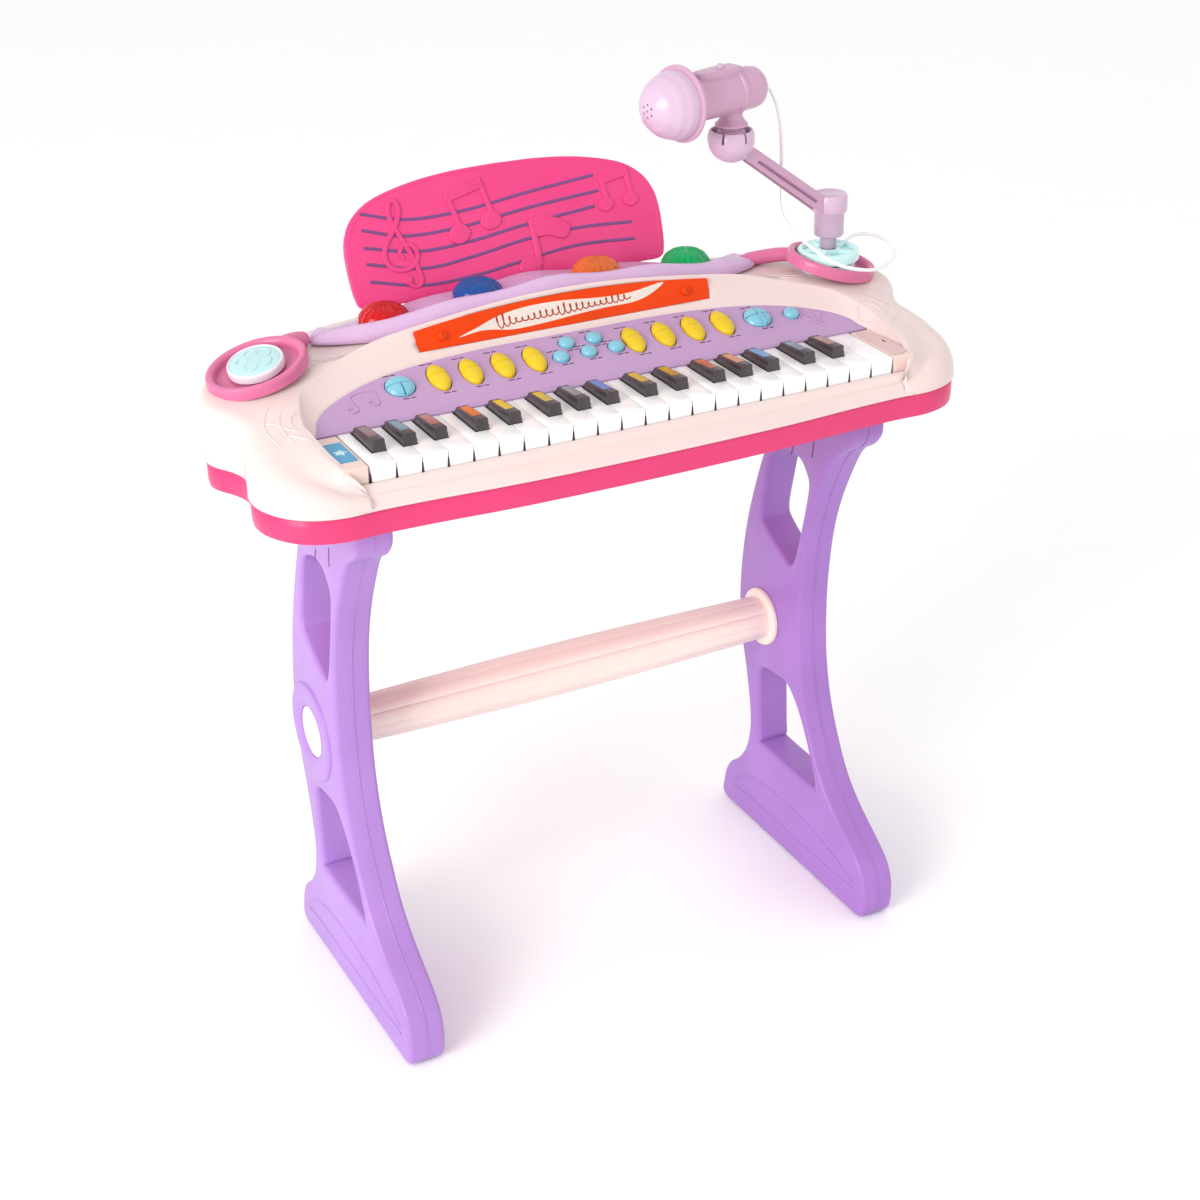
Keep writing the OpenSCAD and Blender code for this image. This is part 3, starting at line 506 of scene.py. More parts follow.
# Rim of the bowl beside the same places, with its height
RIM = [
    (198.5, -104, 430.5), (203, -94, 439), (207, -80, 443.5), (209, -62, 447.5), (210, -48, 450),
    (209, -38, 452), (205, -24, 455.5), (196, -6, 460), (167, 9, 466), (136, 16.5, 473),
    (100, 18.2, 478), (59, 18.6, 482.5), (30, 18.6, 484.8), (0, 18.6, 485.5),
]
# The casing's outline beside the same places
EDGE = [
    (193, -112), (207, -112.6), (225, -109.5), (243, -97), (253, -80), (254, -62), (249, -42),
    (249.5, -12), (257.5, 12), (240, 44), (180, 75.8), (110, 92.5), (50, 98), (0, 100),
]
# Height of the shoulder and its radius beside the same places
SHOULDER = [
    (424, 6), (427, 9), (433, 15), (437, 19), (441, 20), (444, 20), (448, 15), (453, 9),
    (456, 6), (461, 5), (464, 5), (465, 5), (465, 5), (465, 5),
]


def panel_z(y):
    return 441 + PANEL_RISE * (y - PANEL_FRONT)


def outline_at(steps):
    """The casing's whole outline at height 0, from the middle of the front."""
    left = [(-x, y) for x, y in reversed(OUTLINE[1:-1])]
    return level_line(OUTLINE + left, steps, True)


def nearest(line, p):
    return min(range(len(line)), key=lambda i: (line[i].xy - Vector(p[:2])).length)


def shell_columns():
    """For each column: bowl edge, rim, outline point, outward normal, shoulder height and radius."""
    fine = level_line(OUTLINE, 24)
    steps = 6
    bowl = level_line(BOWL, steps)
    rim = smooth_line(RIM, steps)
    marks = smooth_line([(nearest(fine, e), s[0], s[1]) for e, s in zip(EDGE, SHOULDER)], steps)
    columns = []
    for b, r, mark in zip(bowl, rim, marks):
        i = min(len(fine) - 1, max(0, mark.x))
        a, f = int(i), i - int(i)
        c = min(a + 1, len(fine) - 1)
        p = fine[a].lerp(fine[c], f)
        t = (fine[min(a + 3, len(fine) - 1)] - fine[max(a - 3, 0)]).normalized()
        normal = Vector((t.y, -t.x, 0))
        z = KEY_TOP if b.y < PANEL_FRONT else panel_z(b.y)
        if b.y < -97:
            z = KEY_LOW + (KEY_TOP - KEY_LOW) * (b.y + 101) / 4
        columns.append((Vector((b.x, b.y, z)), r, p, normal, mark.y, mark.z))
    left = []
    for bowl_p, r, p, normal, z, radius in reversed(columns[:-1]):
        flip = lambda v: Vector((-v.x, v.y, v.z))
        left.append((flip(bowl_p), flip(r), flip(p), flip(normal), z, radius))
    return columns + left


def raised(p, z):
    """The same plan point at another height."""
    return Vector((p.x, p.y, z))


def shell_column(bowl, rim, edge, normal, shoulder, radius):
    """One cut through the shell, from under the bowl's edge over the rim and down to the seam and back."""
    line = [bowl - Vector((0, 0, 8)), bowl - Vector((0, 0, 1.5))]
    for f in (0, 0.15, 0.3, 0.45, 0.6, 0.75, 0.87):
        p = bowl.lerp(rim, f)
        line.append(p - Vector((0, 0, 3.2 * f * (1 - f))))
    out = Vector((edge.x - rim.x, edge.y - rim.y, 0))
    reach = out.length
    out.normalize()
    line += [
        bowl.lerp(rim, 0.95) + Vector((0, 0, 0.1)),
        rim + Vector((0, 0, 0.15)),
        rim + out * 1.6 - Vector((0, 0, 0.2)),
    ]
    start = raised(edge, 0) - normal * radius
    deck = max(shoulder, min(rim.z, 466.5))
    drop = rim.z - deck
    for d, z in ((3.2, rim.z - 0.8 - 0.1 * drop), (4.6, deck + 0.25 * drop), (6, deck)):
        d = min(d, reach * 0.3)
        line.append(raised(rim + out * d, z if drop > 1 else rim.z - 0.25 * d * 0.3))
    last = line[-1]
    for f in (0.25, 0.5, 0.75):
        p = last.lerp(raised(start, shoulder), f)
        p.z = last.z + (shoulder - last.z) * f**1.25
        line.append(p)
    for s in range(7):
        t = pi / 2 * s / 6
        line.append(raised(start + normal * radius * sin(t), shoulder - radius * (1 - cos(t))))
    inner = edge - normal * 3
    line += [
        raised(edge, SEAM + 0.9),
        raised(edge - normal * 0.5, SEAM + 0.3),
        raised(inner, SEAM + 0.3),
        raised(inner, shoulder - radius - 2),
        raised(start, shoulder - 4),
        raised(rim + out * min(8, reach * 0.4), min(deck, rim.z) - 4.5),
        rim - Vector((0, 0, 6)),
    ]
    return line


def swirl(path, shell):
    """A raised line that follows the shell's surface below the given plan points."""
    tree = BVHTree.FromObject(shell, bpy.context.evaluated_depsgraph_get())
    line = []
    for p in level_line(path, 6):
        hit = tree.ray_cast(Vector((p.x * MM, p.y * MM, 0.6)), Vector((0, 0, -1)))[0]
        if hit is not None:
            line.append(hit / MM - Vector((0, 0, 0.25)))
    n = len(line)
    radii = [SWIRL_R * (0.35 + 0.65 * sin(pi * (i + 0.5) / n)) for i in range(n)]
    return tube("swirl", line, radii, "cream")


SWIRL_R = 0.75
# Plan points of the raised swirls on the left shoulder; the right has the same, mirrored
SWIRLS = [
    [(-224, -75), (-231, -59), (-233, -39), (-226, -21), (-215, -11)],
    [(-215, -79), (-222, -61), (-224, -43), (-219, -27), (-210, -18)],
    [(-207, -73), (-214, -57), (-217, -43), (-214, -34), (-207, -31), (-203, -37), (-207, -45), (-214, -47)],
    [(-229, -49), (-221, -53), (-213, -63), (-206, -79)],
    [(-233, -31), (-227, -35), (-221, -45), (-212, -53)],
    [(-196, 12), (-188, 20), (-178, 22), (-170, 17), (-172, 11), (-180, 12), (-184, 18)],
    [(-202, 6), (-192, 12), (-181, 15), (-168, 22), (-160, 20)],
]


def make_shell():
    columns = shell_columns()
    rows = [shell_column(*c) for c in columns]
    shell = loft("shell_upper", rows, "cream", crease=50)
    cut(shell, plate("seat", window_outline(0.3), [], -2.6, 8, 0.3, "cream", WINDOW, 1))
    paths = [[(side * x, y) for x, y in path] for path in SWIRLS for side in (1, -1)]
    own(joined("shell_swirls", [swirl(path, shell) for path in paths]), ROOT, "cream_shell")
    own(shell, ROOT, "cream_shell", "top_shell")
    make_lip()
    make_end_blocks()


def make_lip():
    """The bowed strip in front of the keys, with a faint step along it."""
    front = [p for p in outline_at(8) if abs(p.x) <= 200 and p.y < -100]
    front.sort(key=lambda p: p.x)
    rows = []
    for p in front:
        y, x = p.y, p.x
        top_y = KEY_FRONT - 3.4
        slope = [(y + (top_y - y) * f, SEAM + 2 + (427.2 - SEAM - 2) * f) for f in (0, 0.3, 0.6, 0.66, 0.9)]
        slope[3] = (slope[3][0] + 0.9, slope[3][1] - 0.1)
        line = [(y + 0.5, SEAM + 0.3), (y, SEAM + 0.9), *slope]
        line += [(top_y + 0.4, 428.0), (top_y + 1.4, 428.5), (KEY_FRONT - 0.8, 428.8)]
        line += [(KEY_FRONT - 0.6, 428.6), (KEY_FRONT - 0.6, 419), (KEY_FRONT - 4, 419), (y + 3.5, SEAM + 2)]
        line += [(y + 3.5, SEAM + 0.3)]
        rows.append([(x, a, b) for a, b in line])
    own(loft("shell_front_lip", rows, "cream", crease=28), ROOT, "cream_shell")


def make_end_blocks():
    for side, name in ((-1, "left"), (1, "right")):
        inner, outer = 190.2 * side, 206.8 * side
        outline = [(inner, -99.9), (outer, -99.9), (outer, PANEL_FRONT), (inner, PANEL_FRONT)]
        top = KEY_TOP + 0.1
        block = plate(f"shell_end_block_{name}", round_corners(outline, 1), [], 424, top, 0.8, "peach")
        own(block, ROOT, "cream_shell")
    label = plate(
        "label_left", round_corners([(-204.6, -89), (-192.2, -89), (-192.2, -57.5), (-204.6, -57.5)], 0.8),
        [], KEY_TOP + 0.05, KEY_TOP + 0.5, 0.15, "label_blue", None, 2,
    )
    own(label, ROOT, "blue")
    star = plate(
        "label_star", [(cos(a) * r - 198.4, sin(a) * r - 74) for a, r in
                       ((pi * k / 5, 2.6 if k % 2 else 5) for k in range(10))],
        [], KEY_TOP + 0.4, KEY_TOP + 0.7, 0.1, "mint_disc", None, 1,
    )
    own(star, ROOT, "mint")
    pocket = [(192, -97), (199, -97), (205.2, -92), (206.2, -72), (203, -54), (198, -50), (192, -50)]
    inset = plate("inset_right", flat_line(pocket, 5), [], KEY_TOP + 0.02, KEY_TOP + 0.6, 0.4, "inset")
    own(inset, ROOT, "peach")
    # The slot is a dark bar laid on the inset: painted shade of an opening.
    slot = bar("inset_slot_painted_shade", (1.2, 3.6, 0.5), 0.2, "ink", move(200.5, -72, KEY_TOP + 0.6))
    own(slot, ROOT, "speaker_black")


# ---------- tray


# CAD nodes that are shown as they are, and their materials
CARRIED = {
    "bottom_tray": "pink", "battery_door": "pink", "circuit_boards": "board", "speaker": "cone",
    "screws": "steel",
}


def make_tray():
    """A smooth skin round the tray's side band and under-edge; the CAD tray carries the rest."""
    line = outline_at(8)
    rows = []
    for i, p in enumerate(line):
        t = (line[(i + 1) % len(line)] - line[i - 1]).normalized()
        out = Vector((t.y, -t.x, 0))
        cutline = [(BAND_SIDE - 3.4, SEAM - 0.35), (BAND_SIDE - 0.35, SEAM - 0.35)]
        cutline += [(BAND_SIDE, SEAM - 0.7), (BAND_SIDE, TRAY_LOW + 3)]
        cutline += [
            (BAND_SIDE - 3.2 * (1 - cos(a)), TRAY_LOW + 2.9 - 3.2 * sin(a))
            for a in (pi / 2 * k / 5 for k in range(1, 6))
        ]
        cutline += [(BAND_SIDE - d, TRAY_LOW + z) for d, z in ((9, -0.3), (9, -0.05), (3.4, -0.05))]
        rows.append([p + out * d + Vector((0, 0, z)) for d, z in cutline])
    skin = loft("tray_band", rows, "pink", close_rows=True, crease=50)
    own(skin, ROOT, "hot_pink")
    for node, material in CARRIED.items():
        carry(node, material)


def carry(node, material):
    """Shows a CAD node with a worked material."""
    obj = frame["nodes"][node]
    obj.data.materials.clear()
    obj.data.materials.append(materials[material])
    for polygon in obj.data.polygons:
        polygon.material_index = 0


# ---------- keys


def make_keys():
    pitch = 17.2
    count = 22
    black_after = {0: -3.6, 1: 0, 2: 3.6, 4: -2.8, 5: 2.8}
    half = count * pitch / 2
    blacks = {
        i: (i + 1) * pitch - half + black_after[i % 7]
        for i in range(count - 1)
        if i % 7 in black_after
    }
    gap, tip, taper, notch_y = 0.16, 0.1, 0.85, -82.8
    for i in range(count):
        low, high = box_mm(f"white_key_{i + 1}")
        x0, x1 = low.x - 0.25 + gap, high.x + 0.25 - gap
        n0 = blacks[i - 1] + 5.2 if i - 1 in blacks else x0
        n1 = blacks[i] - 5.2 if i in blacks else x1
        back = PANEL_FRONT + 1.2
        outline = [
            (x0 + tip, KEY_FRONT), (x1 - tip, KEY_FRONT), (x1, KEY_FRONT + 1.2),
            (x1, KEY_FRONT + 3.4), (x1, notch_y), (n1, notch_y), (n1, back), (n0, back),
            (n0, notch_y), (x0, notch_y), (x0, KEY_FRONT + 3.4), (x0, KEY_FRONT + 1.2),
        ]
        line = [outline[0]]
        for p in outline[1:]:
            if (Vector(p) - Vector(line[-1])).length > 0.05:
                line.append(p)
        key = plate("key_white", line, [], KEY_LOW, KEY_TOP, 0.45, "white", None, 3, 0.2)
        narrow_nose(key, (x0 + x1) / 2, taper)
        tail = bar("key_tail", (n1 - n0 - 2.4, 22, 4.6), 0.4, "white", move((n0 + n1) / 2, -34.2, 430.5))
        shades = [nose_shade(x, side, taper) for side, x in ((1, x0), (-1, x1))]
        node = f"white_key_{i + 1}"
        own(joined(f"white_key_skin_{i + 1}", [key, tail, *shades]), node, "white_key", node)
    stickers = [
        (0.20, 0.11, 0.10), (0.10, 0.30, 0.40), (0.42, 0.22, 0.22), (0.75, 0.20, 0.04), (0.68, 0.50, 0.02),
        (0.70, 0.52, 0.03), (0.25, 0.35, 0.42), (0.04, 0.24, 0.70), (0.66, 0.50, 0.03), (0.62, 0.45, 0.02),
        (0.62, 0.16, 0.06), (0.66, 0.20, 0.05), (0.05, 0.26, 0.66), (0.20, 0.32, 0.42), (0.55, 0.32, 0.30),
    ]
    for k, (i, x) in enumerate(sorted(blacks.items())):
        make_black_key(k + 1, x, stickers[k])


def narrow_nose(key, middle, taper):
    """Draws the sides of a white key together towards the foot of its front, as a moulded key has them."""
    for v in key.data.vertices:
        z, y = v.co.z / MM, v.co.y / MM
        if z < KEY_LOW + 3 and y < KEY_FRONT + 2:
            x = v.co.x / MM
            v.co.x = (x - copysign(taper, x - middle)) * MM


def nose_shade(x, side, taper):
    """The dark wedge of painted shade that shows between two keys at the foot of their fronts."""
    rows = []
    for z, w in ((0.4, taper + 0.1), (3.5, 0.62 * taper), (6.5, 0.08)):
        front = KEY_FRONT + 0.3
        rows.append([(x + dx, y, KEY_LOW + z) for dx, y in ((0, front), (side * w, front), (0, front + 1.6))])
    return loft("nose", rows, "dark")


def make_black_key(number, x, tint):
    node = f"black_key_{number}"
    low, high = box_mm(node)
    front, top = low.y, high.z
    rear, fall = -49, 2.4
    w, v = 9.2 / 2, 8.4 / 2
    levels = [
        (430, w, front, rear, 0), (443.0, w, front, rear, 0), (443.3, w - 0.3, front + 0.25, rear - 0.2, 0),
        (top - 0.9, v, front + 0.5, rear - 0.8, fall), (top - 0.3, v - 0.2, front + 0.7, rear - 1, fall),
        (top, v - 0.6, front + 1.1, rear - 1.4, fall),
    ]
    rings = []
    for z, h, y0, y1, drop in levels:
        corners = round_corners([(x + h, y0), (x + h, y1), (x - h, y1), (x - h, y0)], 0.7, 3)
        rings.append([(px, py, z - drop * (py - y0) / (y1 - y0)) for px, py in corners])
    body = loft("key_black", rings, "black", crease=25)
    tail = bar("tail_black", (7.4, 26, 4.4), 0.4, "black", move(x, -36, 432.2))
    own(joined(f"black_key_skin_{number}", [body, tail]), node, "black_key", node)
    sheet = f"sticker_{number}"
    materials[sheet] = plastic(sheet, [c * 0.75 for c in tint], 0.2, 0.5, 0.5, 0.02)
    half, wide = 10, 2.9
    middle = (front + rear) / 2 + 2.2
    height = top - fall * (middle - front) / (rear - front)
    at = move(x, middle, height) @ turned(-atan(fall / (rear - front)), "X")
    outline = round_corners([(wide, -half), (wide, half), (-wide, half), (-wide, -half)], 0.8)
    own(plate(f"sticker_on_key_{number}", outline, [], -0.1, 0.2, 0.08, sheet, at, 2), node, "black_key")


# ---------- control panel


# Local X along the panel, Y up its slope, Z out of its face
PANEL = move(0, PANEL_FRONT, panel_z(PANEL_FRONT)) @ turned(PANEL_ANGLE, "X")

BUTTON_Y = -14.4
LEMON_X = (37, 60, 83, 106)
ROUND_X = 133.5
SMALL = [(-8.7, -4.9), (11.6, -5.1), (-18.9, -17.1), (2, -16.9), (22.2, -17.2), (159.2, -18)]
LEMON_HALF = 12.9
LEMON_WIDE = 6.9


def along_slope(y):
    return (y - PANEL_FRONT) / cos(PANEL_ANGLE)


def lemon_width(s):
    return LEMON_WIDE * max(0, 1 - abs(s / LEMON_HALF) ** 2.3) ** 0.62


def lemon_outline(x, y, grow):
    side = [LEMON_HALF * sin(pi / 2 * k / 10) for k in range(-10, 11)]
    right = [(x + (lemon_width(s) + grow), y + s * (1 + grow / LEMON_HALF)) for s in side]
    left = [(2 * x - px, py) for px, py in reversed(right)]
    return right + left


def make_panel():
    edge = level_line(BOWL[4:], 6)
    line = [(p.x + 0.8 * (p.x > 3), along_slope(p.y + 1.2)) for p in edge]
    line = [(line[0][0], 0), *line]
    outline = line + [(-x, s) for x, s in reversed(line[:-1])]
    holes = [lemon_outline(side * x, along_slope(BUTTON_Y), 0.45) for side in (-1, 1) for x in LEMON_X]
    holes += [circle(side * ROUND_X, along_slope(BUTTON_Y - 1), 10.3) for side in (-1, 1)]
    holes += [circle(x, along_slope(y), 6, 32) for x, y in SMALL]
    panel = plate("panel_lavender", outline, holes, -2.4, 0, 0.35, "lavender", PANEL, 3)
    own(panel, ROOT, "lavender", "control_panel")
    note = [
        [(-168, 19), (-169.5, 26), (-169, 31.5)], [(-169, 31.5), (-160, 34.5), (-151.5, 33.5)],
        [(-151.5, 33.5), (-152, 28), (-152.5, 22)],
    ]
    relief = [tube("note", level_line(path, 6, z=0.1), 0.8, "lavender", PANEL, flat=0.8) for path in note]
    for x, s in ((-171.5, 18.5), (-156, 21.5)):
        loop = [(x + 3.6 * cos(a), s + 2.4 * sin(a), 0.1) for a in (pi / 8 * k for k in range(16))]
        relief.append(tube("note_head", loop, 0.75, "lavender", PANEL, closed=True))
    spiral = [
        (172 + (1.5 + 0.9 * a) * cos(a), along_slope(-25) + (1.1 + 0.55 * a) * sin(a), 0.1)
        for a in (0.35 * k for k in range(34))
    ]
    relief.append(tube("spiral", spiral, 0.7, "lavender", PANEL, flat=0.8))
    own(joined("panel_relief", relief), ROOT, "lavender")
    make_marks()


def make_marks():
    """Plain dashes where the button labels would be."""
    marks = []
    spots = [(side * x, BUTTON_Y, 15.6, 15.2) for side in (-1, 1) for x in LEMON_X]
    spots += [(side * ROUND_X, BUTTON_Y - 1, 12.4, 12.4) for side in (-1, 1)]
    spots += [(x, y, 7.6, 7.6) for x, y in SMALL if x < 100]
    for x, y, above, below in spots:
        s = along_slope(y)
        for ds, shift in ((above, -2), (-below, 2.5)):
            if y > -10 and ds > 0:
                ds = 8.2
            for dx, w in ((-3.0, 4.4), (1.9, 3.4)):
                at = PANEL @ move(x + shift + dx, s + ds, 0.0)
                marks.append(bar("mark", (w, 0.9, 0.24), 0.1, "ink", at, 1))
    own(joined("panel_marks", marks), ROOT, "lavender")


def make_buttons():
    lemons = []
    for side in (-1, 1):
        for x in LEMON_X:
            rows = []
            for k in range(-20, 21):
                s = LEMON_HALF * sin(pi / 2 * k / 20)
                w = max(0.05, lemon_width(s))
                h = 1.0 + 3.6 * (1 - (s / LEMON_HALF) ** 2) ** 0.6
                groove = exp(-((s - 1.6) / 0.5) ** 2)
                h -= 1.9 * groove
                w -= 0.5 * groove
                arc = [(w * cos(a), s, h * sin(a) ** 0.8) for a in (pi * j / 14 for j in range(15))]
                rows.append([(w, s, -3), *arc, (-w, s, -3)])
            at = PANEL @ move(side * x, along_slope(BUTTON_Y), 0)
            lemons.append(loft("lemon", rows, "yellow", at, crease=50))
    own(joined("yellow_lemons", lemons), "yellow_buttons", "yellow", "yellow_buttons")
    blues = []
    dome = [(0, 4.2), (3, 4.1), (6, 3.6), (8, 2.8), (9.2, 1.7), (9.8, 0.4), (9.8, -3), (0, -3)]
    for side, cuts in ((-1, (0, 180, 270)), (1, (0, 90, 180, 270))):
        at = PANEL @ move(side * ROUND_X, along_slope(BUTTON_Y - 1), 0)
        button = lathe("round", dome, "blue", at, 56, 40)
        for a in cuts:
            turn = at @ turned(radians(a), "Z") @ move(5.6, 0, 3)
            cut(button, bar("slit", (12, 1.2, 5), 0.1, "blue", turn, 1))
            # A dark floor in each slit: painted shade.
            floor = turn @ move(-1, 0, -1.6)
            blues.append(bar("slit_floor", (8.6, 1.1, 0.6), 0.1, "blue_slit_shade", floor, 1))
        blues.append(button)
    cap = [(0, 3.7), (2.2, 3.6), (4, 3.1), (5.1, 2.2), (5.5, 1), (5.6, -3), (0, -3)]
    for x, y in SMALL:
        at = PANEL @ move(x, along_slope(y), 0)
        blues.append(lathe("small", cap, "blue", at, 40, 40))
    own(joined("blue_caps", blues), "blue_buttons", "blue", "blue_buttons")


# ---------- window


# Local X along the window, Y up its slope, Z out of its face
WINDOW = move(0, 6.8, 463) @ turned(radians(63.3), "X")


def window_outline(grow):
    top = [(110.5 * k / 16, 14.3 + 7.6 * (1 - (k / 16) ** 2)) for k in range(16, -17, -1)]
    line = [(109, 0.4), *top, (-109, 0.4)]
    return [tuple(p) for p in shrink(round_corners(line, 0.8, 3), -grow)]


def make_window():
    lens = plate("window_glass", window_outline(0), [], -2.4, -1.2, 0.3, "lens", WINDOW, 2)
    own(lens, ROOT, "window_orange", "window_lens")
    points = [
        (-80, 5.2), (-66, 9.4), (-48, 14.8), (-26, 17.4), (0, 17.0), (26, 14.6), (50, 14.2), (76, 17.2),
        (64, 10.4), (50, 7.4), (30, 7.2), (8, 6.2), (-16, 4.6), (-40, 4.0), (-56, 6.4), (-66, 6.8),
    ]
    swoosh = flat_line(points, 5, True)
    banner = plate("window_swoosh", swoosh, [], -1.25, -1.02, 0.05, "print_white", WINDOW, 1)
    own(banner, ROOT, "white_key")
    loops, turns, per_turn = [], 22, 12
    for k in range(turns * per_turn + 1):
        t, a = k / (turns * per_turn), 2 * pi * k / per_turn
        tall = exp(-((t - 0.04) / 0.05) ** 2) + exp(-((t - 0.5) / 0.05) ** 2)
        size = 2.0 + 2.6 * tall + 0.7 * sin(23 * t)
        lift = 0.5 * (size - 2)
        loops.append((-52 + 100 * t + 1.3 * cos(a), 9.4 + 2.4 * t + lift + size * sin(a), -0.95))
    own(tube("window_scribble", loops, 0.42, "scribble", WINDOW, sides=6, flat=0.5), ROOT, "window_orange")
    slots = []
    for side in (-1, 1):
        at = WINDOW @ move(side * 91.4, 8.4, -1.2)
        cover = [(0, 2.6), (2.2, 2.5), (3.1, 1.8), (3.3, 0.4), (3.3, -0.3), (0, -0.3)]
        slots.append(lathe("screw_cover", cover, "lens", at, 32))
        slots.append(bar("screw_mark", (1.1, 5.2, 0.7), 0.1, "scribble", at @ move(0, 0, 2.4), 1))
    own(joined("window_screws", slots), ROOT, "zinc")


# ---------- rail and domes

DOMES = [
    (-115, 53, 472, "dome_red"), (-45, 55, 477, "dome_blue"), (45, 55, 477.2, "dome_orange"),
    (115, 53, 473.2, "dome_green"),
]


def ridge_z(x):
    return 471 + 14.5 * max(0, cos(pi / 2 * min(1, abs(x) / 172))) ** 1.5


def rail_top(x):
    swell = 1.5 * cos(2 * pi * x / 80) * cos(pi / 2 * min(1, abs(x) / 168))
    return ridge_z(x) + 3.4 + swell


def make_rail():
    end = 169.5
    rows = []
    count = 96
    for k in range(count + 1):
        x = end * sin(pi / 2 * (2 * k / count - 1)) if k in (0, count) else end * (2 * k / count - 1)
        fade = max(0.02, 1 - abs(x / end) ** 14) ** 0.5
        fade = min(fade, 1) if abs(x) > 140 else 1
        front = 23.2 + 14.5 * (abs(x) / 168) ** 3.2
        back = 76 - 14 * (abs(x) / 168) ** 6
        top = rail_top(x)
        low = 466.4
        trough = top - 9.5 if abs(x) < 146 else top - 9.5 * max(0, 1 - (abs(x) - 146) / 14)
        trough = max(low + 2.5, trough)
        line = [
            (front + 1.2, low), (front + 0.2, low + 1), (front, low + 0.35 * (top - low)),
            (front + 1.2, low + 0.65 * (top - low)), (front + 4, top - 2.2), (front + 7, top - 0.5),
            (front + 9.5, top), (front + 12, top - 0.6), (front + 14, top - 2.4),
            (front + 15.6, max(trough, top - 5)), (front + 18, trough), (back - 3.5, trough),
            (back - 1.2, trough - 0.6), (back - 0.2, trough - 2), (back, low),
        ]
        mid_y, mid_z = (front + back) / 2, low
        rows.append([(x, mid_y + (y - mid_y) * fade, mid_z + (z - mid_z) * fade) for y, z in line])
    rail = loft("rail_lavender", rows, "rail", crease=50)
    own(rail, ROOT, "lavender", "rear_rail")


def make_domes():
    for k, (x, y, z, name) in enumerate(DOMES):
        rows = []
        rings, around = 9, 36
        for i in range(rings + 1):
            t = i / rings
            r = 17.5 * cos(pi / 2 * t) ** 0.85
            h = 12 * sin(pi / 2 * t) ** 1.1
            row = []
            for j in range(around):
                a = 2 * pi * (j + 0.5 * (i % 2)) / around
                inside = 0 < i < rings
                bump = 1 + (0.022 if j % 2 else -0.012) * inside
                row.append((r * bump * cos(a), r * bump * sin(a), h + (0.35 if j % 2 else 0) * inside))
            rows.append(row)
        rows = [[(px, py, -4) for px, py, _ in rows[0]], *rows]
        at = move(x, y, z)
        dome = loft(f"dome_{k + 1}", rows, name, at, crease=8)
        own(dome, ROOT, "dome_tint", "light_domes")


# ---------- corner rings, disc and base


def ring_matrix(side):
    place = move(side * 215.5, 21, 466)
    return place @ turned(radians(14 * side), "Y") @ turned(radians(7), "X")


RING = (34, 28.6)
RING_HOLE = (27.6, 23.6)
RING_RIM = 6.2


def make_rings():
    section = [
        (1.0, -2), (1.0, RING_RIM - 3.2), (0.96, RING_RIM - 1.4), (0.84, RING_RIM - 0.3), (0.66, RING_RIM),
        (0.42, RING_RIM - 0.2), (0.2, RING_RIM - 1.2), (0.06, RING_RIM - 2.8), (0, 1.6), (-0.1, 0.5),
        (-0.3, 0.2), (-0.9, 0.1), (-0.9, -1.2), (0.9, -2),
    ]
    for side in (-1, 1):
        rows = []
        for turn in angles(120):
            c, s = cos(turn), sin(turn)
            spread = [[hole + (ring - hole) * f for hole, ring in zip(RING_HOLE, RING)] for f, _ in section]
            rows.append([(x * c, y * s, z) for (x, y), (_, z) in zip(spread, section)])
        at = ring_matrix(side)
        parts = [loft("ring", rows, "ring", at, close_rows=True, crease=50)]
        parts.append(lathe("ring_floor", [(0, 0.1), (22.5, 0.1), (22.5, -1.2), (0, -1.2)], "ring", at))
        reach = 160 if side > 0 else 171
        path = [(199, 37, 471.5), (190, 43, 471.5), (180, 48, 470.5), (reach, 52, 469)]
        ear = smooth_line([(side * x, y, z) for x, y, z in path], 4)
        radii = [4.6 + (1.6 if side < 0 else 0.6) * sin(pi * k / 14) for k in range(12)] + [3.8]
        parts.append(tube("ear", ear, radii, "ring", sides=20))
        name = "left" if side < 0 else "right"
        own(joined(f"corner_ring_{name}", parts), ROOT, "hot_pink", "corner_rings")


def make_disc():
    at = ring_matrix(-1)
    rim = [(16.8, 7.0), (17.2, 7.6), (17.9, 7.7), (18.5, 7.1), (18.8, 6.0), (18.7, 2.2)]
    rim += [(0, 2.2), (0, 6.0), (16.6, 6.0)]
    own(lathe("disc_rim", rim, "rim", at, 72), "effect_disc", "white_key", "effect_disc")
    face = [(0, 8.8), (5, 8.7), (9, 8.4), (13, 8.0), (15.8, 7.7), (17.0, 7.1), (17.1, 5.8), (0, 5.8)]
    disc = lathe("disc_face", face, "mint_disc", at, 72)
    petals = []
    for k in range(5):
        a = 2 * pi * k / 5 + 0.3
        loop = [
            (8 * cos(a) + 4.2 * cos(b), 8 * sin(a) + 4.2 * sin(b), 8.35)
            for b in (pi / 10 * j for j in range(20))
        ]
        petals.append(tube("petal", loop, 0.6, "mint_disc", at, closed=True, flat=0.8))
    own(joined("disc_mint", [disc, *petals]), "effect_disc", "mint")


def make_base(post):
    top = box_mm("mic_base")[1].z
    at = move(post.x, post.y, top)
    rim = [(17.4, -3), (17.6, -0.8), (18.4, 0), (20.6, 0), (21.8, -1), (22.1, -3), (22.1, -7)]
    rim += [(8, -9), (0, -9), (0, -3.2), (17.2, -3.2)]
    parts = [lathe("base_rim", rim, "mint", at, 72)]
    hub = [(5.3, -2.9), (5.3, -0.3), (6, 0.2), (7.6, 0.2), (8.6, -0.6), (8.8, -3)]
    parts.append(lathe("base_hub", hub, "mint", at, 48))
    for k in range(5):
        a = 2 * pi * (k + 0.3) / 5
        turn = at @ turned(a, "Z") @ move(13, 0, -2)
        parts.append(bar("spoke", (11, 4.4, 3.2), 0.9, "mint", turn))
    parts.append(lathe("base_neck", [(0, -9), (19.5, -9), (19.5, -15), (0, -15)], "mint", at, 48))
    own(joined("base_mint", parts), ROOT, "mint", "mic_base")


